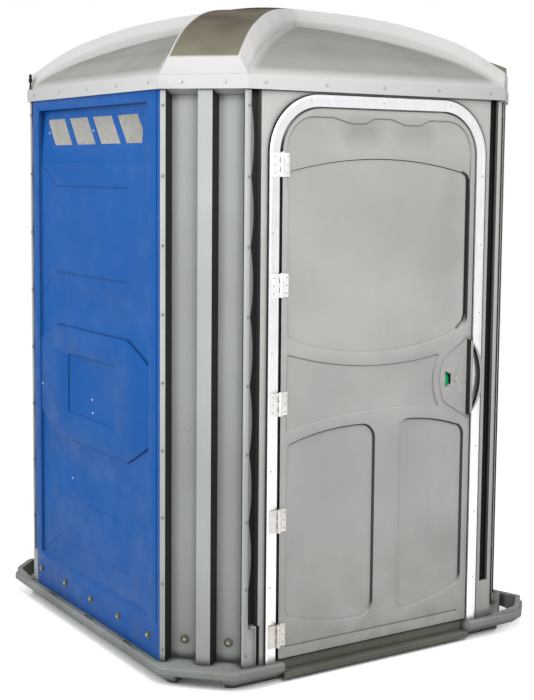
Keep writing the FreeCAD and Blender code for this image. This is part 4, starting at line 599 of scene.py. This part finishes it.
looks = {
    "blue_side": moulded("blue_sheet_sides", BLUE, SIDE_AXIS, **BLUE_WAYS),
    "blue_back": moulded("blue_sheet_back", BLUE, FRONT_AXIS, **BLUE_WAYS),
    "near_corner": moulded("grey_corner_near", CORNER_GREY, NEAR_DIAGONAL, **CORNER_WAYS),
    "far_corner": moulded("grey_corner_far", CORNER_GREY, FAR_DIAGONAL, **CORNER_WAYS),
    "front": moulded(
        "grey_front", FRONT_GREY, FRONT_AXIS, closed_at=(0.95, 0.64), grooves_shaded=True, **GREY_WAYS),
    "door": moulded(
        "door_moulding", DOOR_GREY, FRONT_AXIS, cloud=0.07, grain=650.0, grain_depth=0.0004,
        sheen=0.18, dirt=0.5, deep=0.01, reach=0.016, steep_share=1.0, hollow_share=0.5,
        lines=DOOR_EDGE, shade_line_wide=0.009, shade_line_tone=0.02, shade_bands=DOOR_SHADES),
    "base": moulded(
        "base_moulding", BASE_GREY, UP_AXIS, cloud=0.16, grain=210.0, grain_depth=0.0008,
        gloss=(0.6, 0.85), dirt=0.3, deep=0.1, reach=0.03, steep_share=0.15),
    "sill": moulded(
        "sill_plastic", SILL_GREY, UP_AXIS, cloud=0.2, grain=300.0, gloss=(0.5, 0.7),
        dirt=0.2, deep=0.2, reach=0.02, steep_share=0.3),
    "dark": moulded("dark_plastic", DARK, cloud=0.3, grain=500.0, gloss=(0.35, 0.6), dirt=0.0),
    "tank": moulded("tank_moulding", TANK_BLACK, cloud=0.2, grain=260.0, dirt=0.0),
    "pipe": moulded("pipe_plastic", PIPE_WHITE, cloud=0.05, grain=600.0, dirt=0.0),
    "deck": moulded("deck_plastic", DECK_GREY, cloud=0.25, grain=240.0, gloss=(0.6, 0.85), dirt=0.6),
}
print(len(looks), "plastics")

# %% [markdown]
# The pull handle is one grey moulding. Its pocket gets painted black shade: faces in front of the pad
# that turn sideways, and everything behind the grip inside the pocket, are painted black, so the finish
# asks both where the surface is and which way it faces.

# %% Handle finish
PAD_FACE = -0.769
POCKET_EDGE = 0.4165
GRIP_BACK = -0.780


def handle_finish():
    """Grey pad and grip, with painted black shade on the grip's sides and in the pocket."""
    look, tree, shader = fresh("handle_moulding")
    grey = ramp(tree, noise(tree, 30.0, 4.0), *MIDDLE, shade(DOOR_GREY, 0.9), shade(DOOR_GREY, 1.02))
    parts = place_parts(tree)
    side_face = spread(tree, facing(tree, FRONT_AXIS), 0.6, 0.85, 1.0, 0.0)
    proud = spread(tree, parts["Y"], PAD_FACE - 0.0005, PAD_FACE - 0.001, 0.0, 1.0)
    beside = spread(tree, parts["X"], POCKET_EDGE - 0.001, POCKET_EDGE, 0.0, 1.0)
    sunk = spread(tree, parts["Y"], GRIP_BACK, GRIP_BACK + 0.001, 0.0, 1.0)
    grip_sides = reckon(tree, "MULTIPLY", side_face, proud)
    pocket = reckon(tree, "MULTIPLY", beside, sunk)
    # Painted shade: the grip's sides and the pocket are black.
    black = reckon(tree, "MAXIMUM", grip_sides, pocket)
    tree.links.new(mix(tree, black, grey, DARK), shader.inputs["Base Color"])
    tree.links.new(spread(tree, noise(tree, 22.0), 0.3, 0.7, 0.4, 0.55), shader.inputs["Roughness"])
    bumped(tree, shader, noise(tree, 650.0, 2.0), 0.3, 0.0003)
    shader.inputs["Specular IOR Level"].default_value = 0.3
    return look


looks["handle"] = handle_finish()
print("the grip stands", round(1000 * (PAD_FACE - GRIP_BACK)), "mm off its pad")

# %% [markdown]
# The roof is thin white moulding that lets daylight through. The skirt and the sides of the hips are
# the
# whitest. The vaults get painted shade: greyer than the skirt, and darker towards the crown. The flat
# tops of the hips are smoky brown and darker towards the crown, and the roof's creases get painted
# shade.
# The places come from the same measures as the hips: their half width across the diagonal.

# %% Roof finish
ROOF_WHITE = (0.60, 0.595, 0.59)
VAULT_LOW, VAULT_HIGH = (0.33, 0.325, 0.305), (0.18, 0.175, 0.155)
SMOKE_LOW, SMOKE_HIGH = (0.205, 0.19, 0.135), (0.035, 0.02, 0.002)
ROOF_CREASE_SHADE, ROOF_CREASE_SHADE_SHARE = (0.22, 0.21, 0.18), 0.45
HIP_HALF = 0.122
HIP_FOOT = 2.132
SKIRT_TOP = 2.078
CROWN_TOP = 2.39
HIP_FADE, FLANK_FADE = (-0.012, -0.002), (0.03, 0.075)
FOOT_FADE, SKIRT_FADE = 0.008, 0.03


def roof_finish():
    """White skirt and hip sides, painted shade on the vaults and in the creases, smoky tops on the
    hips.
    """
    look, tree, shader = fresh("roof_moulding")
    parts = place_parts(tree)
    total = reckon(tree, "ADD", parts["X"], parts["Y"])
    across = reckon(tree, "SUBTRACT", parts["X"], parts["Y"])
    near = reckon(
        tree, "MINIMUM", reckon(tree, "ABSOLUTE", total), reckon(tree, "ABSOLUTE", across))
    band = HIP_HALF * math.sqrt(2.0)
    on_hip = spread(tree, near, band + HIP_FADE[0], band + HIP_FADE[1], 1.0, 0.0)
    above = spread(tree, parts["Z"], HIP_FOOT, HIP_FOOT + FOOT_FADE, 0.0, 1.0)
    rise = spread(tree, parts["Z"], HIP_FOOT, CROWN_TOP, 0.0, 1.0)
    blotched = reckon(tree, "ADD", rise, spread(tree, noise(tree, 7.0, 4.0), 0.3, 0.7, -0.12, 0.12))
    smoke = ramp(tree, blotched, 0.0, 0.75, SMOKE_LOW, SMOKE_HIGH)
    vault = spread(tree, parts["Z"], SKIRT_TOP, SKIRT_TOP + SKIRT_FADE, 0.0, 1.0)
    # Painted shade: the vaults darken from VAULT_LOW to VAULT_HIGH towards the crown.
    tone = reckon(tree, "ADD", rise, spread(tree, noise(tree, 2.6, 4.0), 0.3, 0.7, -0.2, 0.2))
    vault_shade = ramp(tree, tone, 0.0, 0.9, VAULT_LOW, VAULT_HIGH)
    flank = spread(tree, near, band + FLANK_FADE[0], band + FLANK_FADE[1], 0.0, 1.0)
    skin = mix(tree, reckon(tree, "MULTIPLY", vault, flank), ROOF_WHITE, vault_shade)
    surface = mix(tree, reckon(tree, "MULTIPLY", on_hip, above), skin, smoke)
    # Painted shade in the roof's creases.
    creases = reckon(tree, "MULTIPLY", hollow(tree, 0.04, 0.9, 0.5), ROOF_CREASE_SHADE_SHARE)
    tree.links.new(mix(tree, creases, surface, ROOF_CREASE_SHADE), shader.inputs["Base Color"])
    satin = spread(tree, noise(tree, 10.0, 4.0), 0.3, 0.7, 0.45, 0.6)
    tree.links.new(satin, shader.inputs["Roughness"])
    bumped(tree, shader, noise(tree, 300.0, 2.0), 0.25, 0.0002)
    shader.inputs["Specular IOR Level"].default_value = 0.1
    return look


looks["roof"] = roof_finish()
print("hips", round(2 * HIP_HALF, 3), "m wide, from", HIP_FOOT, "to", CROWN_TOP, "m")

# %% [markdown]
# Metals: the door frame is a mill-finished aluminium extrusion with drawing lines along it, the hinges
# and rails are aluminium and brushed steel, and the big bolts at the foot have dulled to a dark brass.
# Fine noise stretched along the piece gives the drawing lines, and the same noise varies the
# roughness, so that highlights break up.

# %% Metals
EVEN = (1.0, 1.0, 1.0)
DRAWN_UP = (1.0, 1.0, 0.03)
DRAWN_ALONG = (0.05, 0.05, 1.0)
TARNISH_MOST, TARNISH_TONE = 0.3, 0.78
STAIN_FROM, STAIN_TO, STAIN_BROWN = 0.3, 1.25, (0.42, 0.37, 0.32)


def metal(name, colour, rough, lines=DRAWN_UP, scale=700.0, depth=0.00006, stain=0.0):
    """Bare metal with drawing lines, cloudy tarnish, and a brown stain towards the ground."""
    look, tree, shader = fresh(name)
    drawn = noise(tree, scale, 3.0, lines)
    tone = ramp(tree, drawn, 0.3, 0.7, shade(colour, 0.9), shade(colour, 1.06))
    cloud = spread(tree, noise(tree, 18.0, 5.0), 0.35, 0.7, 0.0, TARNISH_MOST)
    worn = mix(tree, cloud, tone, shade(colour, TARNISH_TONE))
    low = spread(tree, place_parts(tree)["Z"], STAIN_FROM, STAIN_TO, stain, 0.0)
    tree.links.new(mix(tree, low, worn, STAIN_BROWN), shader.inputs["Base Color"])
    tree.links.new(spread(tree, drawn, 0.2, 0.8, rough * 0.8, rough * 1.25), shader.inputs["Roughness"])
    shader.inputs["Metallic"].default_value = 1.0
    bumped(tree, shader, drawn, 0.3, depth)
    return look


metals = {
    "aluminium": metal("mill_aluminium", (0.86, 0.865, 0.87), 0.34),
    "hinge": metal("hinge_aluminium", (0.84, 0.84, 0.83), 0.42, scale=300.0, stain=0.65),
    "zinc": metal("zinc_plate", (0.52, 0.51, 0.49), 0.4, lines=EVEN, scale=260.0),
    "brass": metal("dull_brass", (0.30, 0.285, 0.22), 0.4, lines=EVEN, scale=260.0),
    "dull": metal("dull_zinc", (0.26, 0.265, 0.255), 0.6, lines=EVEN, scale=260.0),
    "washer": metal("dark_washer", (0.13, 0.125, 0.10), 0.5, lines=EVEN, scale=260.0),
    "steel": metal("brushed_steel", (0.66, 0.66, 0.67), 0.28, lines=DRAWN_ALONG),
}
looks.update(metals)
print(len(metals), "metals")

# %% [markdown]
# A few small finishes remain: the wire of the vent screens, the two colours of the occupancy disc, the
# satin seat, the rubber of the frame's gasket and the soft paper.

# %% Small finishes


def lacquer(name, colour, rough=0.25):
    """An even coat with faint tone and shine."""
    look, tree, shader = fresh(name)
    tone = ramp(tree, noise(tree, 60.0, 3.0), 0.35, 0.65, shade(colour, 0.92), shade(colour, 1.08))
    tree.links.new(tone, shader.inputs["Base Color"])
    shine = spread(tree, noise(tree, 35.0), 0.3, 0.7, rough * 0.8, rough * 1.3)
    tree.links.new(shine, shader.inputs["Roughness"])
    bumped(tree, shader, noise(tree, 500.0), 0.15, 0.0001)
    return look


looks["green"] = lacquer("green_enamel", (0.006, 0.50, 0.15))
looks["red"] = lacquer("red_enamel", (0.5, 0.02, 0.02))
looks["seat"] = lacquer("seat_plastic", (0.018, 0.018, 0.02), 0.3)
looks["rubber"] = lacquer("gasket_rubber", (0.008, 0.009, 0.008), 0.6)
looks["wire"] = lacquer("screen_wire", (0.62, 0.605, 0.56), 0.55)
looks["paper"] = moulded(
    "soft_paper", (0.84, 0.83, 0.80), cloud=0.03, grain=900.0, gloss=(0.85, 0.95), dirt=0.0)
print(len(looks), "finishes in all")

# %% [markdown]
# Now each solid gets its finish. The table goes from the finish to the nodes that have it, so that a
# missing node shows at once.

# %% Give every node its finish
wearing = {
    "base": ["base_skid"],
    "sill": ["sill_plate"],
    "dark": ["tie_stud", "latch_knob", "latch_case", "paper_holder", "paper_spindle"],
    "handle": ["pull_handle"],
    "near_corner": ["corner_panel_front_left", "corner_panel_back_right"],
    "far_corner": ["corner_panel_front_right", "corner_panel_back_left"],
    "front": ["front_panel"],
    "blue_side": ["wall_panel_left", "wall_panel_right"],
    "blue_back": ["wall_panel_back"],
    "wire": ["vent_grilles_left", "vent_grilles_right", "vent_grilles_back"],
    "aluminium": ["door_frame"],
    "hinge": ["hinge_frame_leaves", "hinge_door_leaves", "hinge_pins"],
    "roof": ["roof_shell"],
    "zinc": [
        "frame_rivets", "hinge_frame_rivets", "hinge_door_rivets", "roof_screws", "latch_spindle",
        "latch_bolt", "strike_plate", "stack_clips", "coat_hook", "seat_pins",
    ],
    "brass": ["base_bolts"],
    "dull": ["flange_screws"],
    "washer": ["base_washers"],
    "door": ["door_skin_outer", "door_skin_inner"],
    "green": ["occupancy_sector_free"],
    "red": ["occupancy_sector_engaged"],
    "deck": ["floor_deck"],
    "tank": ["waste_tank", "seat_brackets"],
    "seat": ["seat_ring", "seat_lid"],
    "pipe": ["vent_stack", "vent_cap"],
    "steel": ["grab_rail_right", "grab_rail_back", "grab_rail_left"],
    "paper": ["paper_roll_front", "paper_roll_rear"],
}


def dress(piece, look):
    """Gives every face of a piece one finish."""
    piece.data.materials.clear()
    piece.data.materials.append(look)
    for polygon in piece.data.polygons:
        polygon.material_index = 0


dressed = set()
for finish, names in wearing.items():
    for name in names:
        dress(nodes[name], looks[finish])
        dressed.add(name)
print("without a finish:", sorted(set(nodes) - dressed))

# %% [markdown]
# The solids have crisp edges, and a moulding has none. A solid's mesh is loose triangles, so modifiers
# first weld them and join the flat ones, then round the edges, and last shade the curved faces
# smoothly while real edges stay crisp. Modifiers leave the mesh itself as it was loaded.

# %% Smooth faces, crisp edges
CRISP_ANGLE = math.radians(32.0)


def smooth_by_angle():
    """A small node group: smooth faces, with edges sharper than the crisp angle left sharp."""
    group = bpy.data.node_groups.new("smooth_by_angle", "GeometryNodeTree")
    for way in ("INPUT", "OUTPUT"):
        group.interface.new_socket(name="Geometry", in_out=way, socket_type="NodeSocketGeometry")
    start = group.nodes.new("NodeGroupInput")
    stop = group.nodes.new("NodeGroupOutput")
    faces = group.nodes.new("GeometryNodeSetShadeSmooth")
    edges = group.nodes.new("GeometryNodeSetShadeSmooth")
    edges.domain = "EDGE"
    edges.inputs["Shade Smooth"].default_value = False
    angle = group.nodes.new("GeometryNodeInputMeshEdgeAngle")
    sharp = group.nodes.new("FunctionNodeCompare")
    sharp.operation = "GREATER_THAN"
    sharp.inputs[1].default_value = CRISP_ANGLE
    group.links.new(angle.outputs["Unsigned Angle"], sharp.inputs[0])
    group.links.new(start.outputs[0], faces.inputs["Geometry"])
    group.links.new(faces.outputs["Geometry"], edges.inputs["Geometry"])
    group.links.new(sharp.outputs["Result"], edges.inputs["Selection"])
    group.links.new(edges.outputs["Geometry"], stop.inputs[0])
    return group


SMOOTHING = smooth_by_angle()
print("edges stay crisp from", round(math.degrees(CRISP_ANGLE)), "degrees")

# %% Modifier helpers
WELD_REACH = 0.00002
FLAT_ANGLE = math.radians(0.8)
ROUND_ANGLE = math.radians(40.0)


def weld(piece):
    """Joins the loose triangles, and then those that lie in one plane."""
    piece.modifiers.new("weld", "WELD").merge_threshold = WELD_REACH
    flat = piece.modifiers.new("flat", "DECIMATE")
    flat.decimate_type = "DISSOLVE"
    flat.angle_limit = FLAT_ANGLE


def round_edges(piece, width, segments=2):
    """Rounds every edge that is sharper than the angle for rounding."""
    bevel = piece.modifiers.new("rounded", "BEVEL")
    bevel.width = width
    bevel.segments = segments
    bevel.limit_method = "ANGLE"
    bevel.angle_limit = ROUND_ANGLE
    bevel.use_clamp_overlap = True


def smooth(piece):
    """Shades the piece smoothly up to the crisp angle."""
    piece.modifiers.new("smooth", "NODES").node_group = SMOOTHING


def dome(piece, width):
    """Turns low cut heads into domed ones."""
    weld(piece)
    round_edges(piece, width, 1)
    swell = piece.modifiers.new("domed", "SUBSURF")
    swell.levels = swell.render_levels = 1
    smooth(piece)


print("welds at", 1000 * WELD_REACH, "mm")

# %% Rounded edges
EDGE_WIDTHS = {
    "wall_panel_left": 0.0015, "wall_panel_right": 0.0015, "wall_panel_back": 0.0015,
    "corner_panel_front_left": 0.0012, "corner_panel_front_right": 0.0012,
    "corner_panel_back_left": 0.0012, "corner_panel_back_right": 0.0012,
    "front_panel": 0.0008, "door_skin_outer": 0.0008, "door_skin_inner": 0.0015,
    "base_skid": 0.002, "sill_plate": 0.001, "door_frame": 0.0006, "pull_handle": 0.001,
    "roof_shell": 0.0015, "floor_deck": 0.0006, "waste_tank": 0.003, "seat_ring": 0.002,
    "seat_lid": 0.002, "latch_knob": 0.001, "latch_case": 0.001, "paper_holder": 0.0008,
    "hinge_frame_leaves": 0.0004, "hinge_door_leaves": 0.0004, "base_washers": 0.0005,
    "coat_hook": 0.0006, "vent_cap": 0.001, "seat_brackets": 0.001,
}
HEAD_WIDTHS = {
    "frame_rivets": 0.0006, "hinge_frame_rivets": 0.0005, "hinge_door_rivets": 0.0005,
    "roof_screws": 0.0008, "flange_screws": 0.0008, "base_bolts": 0.0015,
}
for name, piece in nodes.items():
    if name in HEAD_WIDTHS:
        dome(piece, HEAD_WIDTHS[name])
        continue
    weld(piece)
    if name in EDGE_WIDTHS:
        round_edges(piece, EDGE_WIDTHS[name])
    smooth(piece)
print(len(EDGE_WIDTHS), "nodes with rounded edges,", len(HEAD_WIDTHS), "sets of domed heads")

# %% [markdown]
# The vents are closed by a fine woven screen. Its wires are too many for the solids, which only have a
# slotted plate there. A grid is cut to the four leaning outlines, its crossings are pushed in and out
# by turns like a weave, and a Wireframe modifier gives every edge its thickness.

# %% Screen measures
SCREEN_PITCH = 0.0052
SCREEN_WIRE = 0.0023
SCREEN_WAVE = 0.0003
VENT_LOW, VENT_HIGH = 1.855, 1.956
VENT_FIRST, VENT_PITCH, VENT_WIDE, VENT_LEAN = -0.430, 0.205, 0.158, 0.090
VENT_LIMITS = (-0.420, 0.393)
SCREEN_LOW_Y, SCREEN_HIGH_Y = -0.7471, -0.7392
VENT_COUNT = 4
print(VENT_COUNT, "vents of", VENT_WIDE, "m in each row")

# %% Cutting and making


def cut(mesh, place, normal):
    """Cuts away everything on the side that the normal points to."""
    bmesh.ops.bisect_plane(
        mesh, geom=mesh.verts[:] + mesh.edges[:] + mesh.faces[:], dist=1e-6,
        plane_co=place, plane_no=normal, clear_outer=True)


def made(name, mesh, look, body):
    """Writes a bmesh to a new piece, dresses it, and sets it on its body."""
    data = bpy.data.meshes.new(name)
    mesh.to_mesh(data)
    mesh.free()
    piece = bpy.data.objects.new(name, data)
    scene.collection.objects.link(piece)
    data.materials.append(look)
    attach(piece, body)
    return piece


def join(mesh, part):
    """Adds the faces of one bmesh to another, and frees the first."""
    data = bpy.data.meshes.new("part")
    part.to_mesh(data)
    part.free()
    mesh.from_mesh(data)
    bpy.data.meshes.remove(data)


# %% Vent screens


def screen_patch(mesh, number):
    """One leaning vent of the row, as a grid in the upright plane at level 0."""
    high = VENT_HIGH - VENT_LOW
    lean = Vector((high, 0.0, VENT_LEAN)).normalized()
    first = VENT_FIRST + VENT_PITCH * number
    patch = bmesh.new()
    wide = VENT_WIDE + VENT_LEAN
    columns, rows = round(wide / SCREEN_PITCH), round(high / SCREEN_PITCH)
    bmesh.ops.create_grid(patch, x_segments=columns, y_segments=rows, size=0.5)
    bmesh.ops.scale(patch, vec=(wide, high, 1.0), verts=patch.verts)
    bmesh.ops.rotate(
        patch, verts=patch.verts, matrix=Matrix.Rotation(math.radians(90.0), 3, "X"))
    bmesh.ops.translate(
        patch, verts=patch.verts, vec=(first + wide / 2, 0.0, VENT_LOW + high / 2))
    for index, vert in enumerate(patch.verts):
        column, row = index % (columns + 1), index // (columns + 1)
        vert.co.y += SCREEN_WAVE * (1 if (column + row) % 2 else -1)
    cut(patch, (first, 0.0, VENT_HIGH), -lean)
    cut(patch, (first + VENT_WIDE, 0.0, VENT_HIGH), lean)
    cut(patch, (VENT_LIMITS[0], 0.0, 0.0), (-1.0, 0.0, 0.0))
    cut(patch, (VENT_LIMITS[1], 0.0, 0.0), (1.0, 0.0, 0.0))
    join(mesh, patch)


def vent_screen(side, turn):
    """The four screens of one wall, made in the plane of the front and turned to their side."""
    mesh = bmesh.new()
    for number in range(VENT_COUNT):
        screen_patch(mesh, number)
    slope = (SCREEN_HIGH_Y - SCREEN_LOW_Y) / (VENT_HIGH - VENT_LOW)
    for vert in mesh.verts:
        vert.co.y += SCREEN_LOW_Y + slope * (vert.co.z - VENT_LOW)
    bmesh.ops.rotate(
        mesh, verts=mesh.verts, matrix=Matrix.Rotation(math.radians(turn), 3, "Z"))
    screen = made("vent_screen_" + side, mesh, looks["wire"], "cabin")
    wires = screen.modifiers.new("wires", "WIREFRAME")
    wires.thickness = SCREEN_WIRE
    wires.use_even_offset = False
    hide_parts("vent_grilles_" + side)


for side, turn in (("left", -90.0), ("right", 90.0), ("back", 180.0)):
    vent_screen(side, turn)
print("screens with wires every", 1000 * SCREEN_PITCH, "mm")

# %% [markdown]
# A black rubber gasket runs round the outside of the aluminium frame, between it and the plastic. Its
# section is one small square that is extruded up the left side, spun round the corner, extruded along
# the head, spun again and extruded down the right side.

# %% Frame gasket
FRAME_LEFT, FRAME_RIGHT, FRAME_TOP, FRAME_ROUND = -0.470, 0.474, 2.020, 0.200
FRAME_FOOT = 0.0705
GASKET_BACK, GASKET_PROUD, GASKET_WIDE = -0.7651, 0.0062, 0.0038
STRAIGHT_SIDE = FRAME_TOP - FRAME_ROUND - FRAME_FOOT
STRAIGHT_HEAD = FRAME_RIGHT - FRAME_LEFT - 2 * FRAME_ROUND
CORNER_STEPS = 20


def run_on(mesh, loop, move):
    """Extrudes the open end of the section along a straight run."""
    grown = bmesh.ops.extrude_edge_only(mesh, edges=loop)["geom"]
    verts = [g for g in grown if isinstance(g, bmesh.types.BMVert)]
    bmesh.ops.translate(mesh, verts=verts, vec=move)
    return [g for g in grown if isinstance(g, bmesh.types.BMEdge) and all(v in verts for v in g.verts)]


def turn_on(mesh, loop, centre):
    """Spins the open end of the section through a quarter turn."""
    spun = bmesh.ops.spin(
        mesh, geom=loop, cent=centre, axis=(0.0, 1.0, 0.0), dvec=(0.0, 0.0, 0.0),
        angle=math.radians(90.0), steps=CORNER_STEPS, use_duplicate=False)["geom_last"]
    return [g for g in spun if isinstance(g, bmesh.types.BMEdge)]


mesh = bmesh.new()
bmesh.ops.create_grid(mesh, x_segments=1, y_segments=1, size=0.5)
bmesh.ops.scale(mesh, vec=(GASKET_WIDE, GASKET_PROUD, 1.0), verts=mesh.verts)
bmesh.ops.translate(
    mesh, verts=mesh.verts,
    vec=(FRAME_LEFT - GASKET_WIDE / 2, GASKET_BACK - GASKET_PROUD / 2, FRAME_FOOT))
bmesh.ops.delete(mesh, geom=mesh.faces[:], context="FACES_ONLY")
loop = run_on(mesh, mesh.edges[:], (0.0, 0.0, STRAIGHT_SIDE))
loop = turn_on(mesh, loop, (FRAME_LEFT + FRAME_ROUND, 0.0, FRAME_TOP - FRAME_ROUND))
loop = run_on(mesh, loop, (STRAIGHT_HEAD, 0.0, 0.0))
loop = turn_on(mesh, loop, (FRAME_RIGHT - FRAME_ROUND, 0.0, FRAME_TOP - FRAME_ROUND))
run_on(mesh, loop, (0.0, 0.0, -STRAIGHT_SIDE))
bmesh.ops.remove_doubles(mesh, verts=mesh.verts, dist=1e-6)
bmesh.ops.holes_fill(mesh, edges=[e for e in mesh.edges if e.is_boundary])
bmesh.ops.recalc_face_normals(mesh, faces=mesh.faces)
gasket = made("frame_gasket", mesh, looks["rubber"], "cabin")
print("gasket", len(gasket.data.polygons), "faces")

# %% [markdown]
# A handful of small domed rivets hold the sheets between the big bolts. Each one is half a sphere that
# is flattened and laid on the sheet where a ray meets it.

# %% Rivet helpers
RIVET_RADIUS, RIVET_HIGH = 0.0045, 0.0024


def surface_at(node, start, direction):
    """Where a ray meets a CAD node's mesh, and the way its surface faces."""
    data = nodes[node].data
    tree = BVHTree.FromPolygons([v.co for v in data.vertices], [p.vertices for p in data.polygons])
    place, normal, _, _ = tree.ray_cast(Vector(start), Vector(direction))
    return place, normal


def rivet(mesh, place, normal):
    """A flattened half sphere, laid on a surface."""
    head = bmesh.new()
    bmesh.ops.create_uvsphere(head, u_segments=12, v_segments=8, radius=1.0)
    cut(head, (0.0, 0.0, -0.05), (0.0, 0.0, -1.0))
    bmesh.ops.holes_fill(head, edges=[e for e in head.edges if e.is_boundary])
    bmesh.ops.scale(head, vec=(RIVET_RADIUS, RIVET_RADIUS, RIVET_HIGH), verts=head.verts)
    turned = normal.to_track_quat("Z", "Y").to_matrix()
    bmesh.ops.rotate(head, verts=head.verts, matrix=turned)
    bmesh.ops.translate(head, verts=head.verts, vec=place)
    for face in head.faces:
        face.smooth = True
    join(mesh, head)


print("rivet heads", 2000 * RIVET_RADIUS, "mm wide")

# %% Sheet rivets
OUTSIDE = 1.2
LEFT_RIVETS = (
    (-0.005, 0.905), (-0.009, 0.855), (0.452, 0.906), (0.180, 0.571), (0.405, 1.903), (0.002, 1.905))
CHAMFER_START = Vector((-0.765, -0.553, 0.0))
CHAMFER_ALONG = Vector((COS_45, -COS_45, 0.0))
CHAMFER_INWARD = Vector((COS_45, COS_45, 0.0))
CHAMFER_RIVETS = ((0.084, 0.880), (0.084, 0.830))
STAND_OFF = 0.3
mesh = bmesh.new()
for y, z in LEFT_RIVETS:
    rivet(mesh, *surface_at("wall_panel_left", (-OUTSIDE, y, z), (1.0, 0.0, 0.0)))
for along, z in CHAMFER_RIVETS:
    start = CHAMFER_START + CHAMFER_ALONG * along - CHAMFER_INWARD * STAND_OFF
    start.z = z
    rivet(mesh, *surface_at("corner_panel_front_left", start, CHAMFER_INWARD))
made("sheet_rivets", mesh, looks["zinc"], "cabin")
print(len(LEFT_RIVETS) + len(CHAMFER_RIVETS), "sheet rivets")
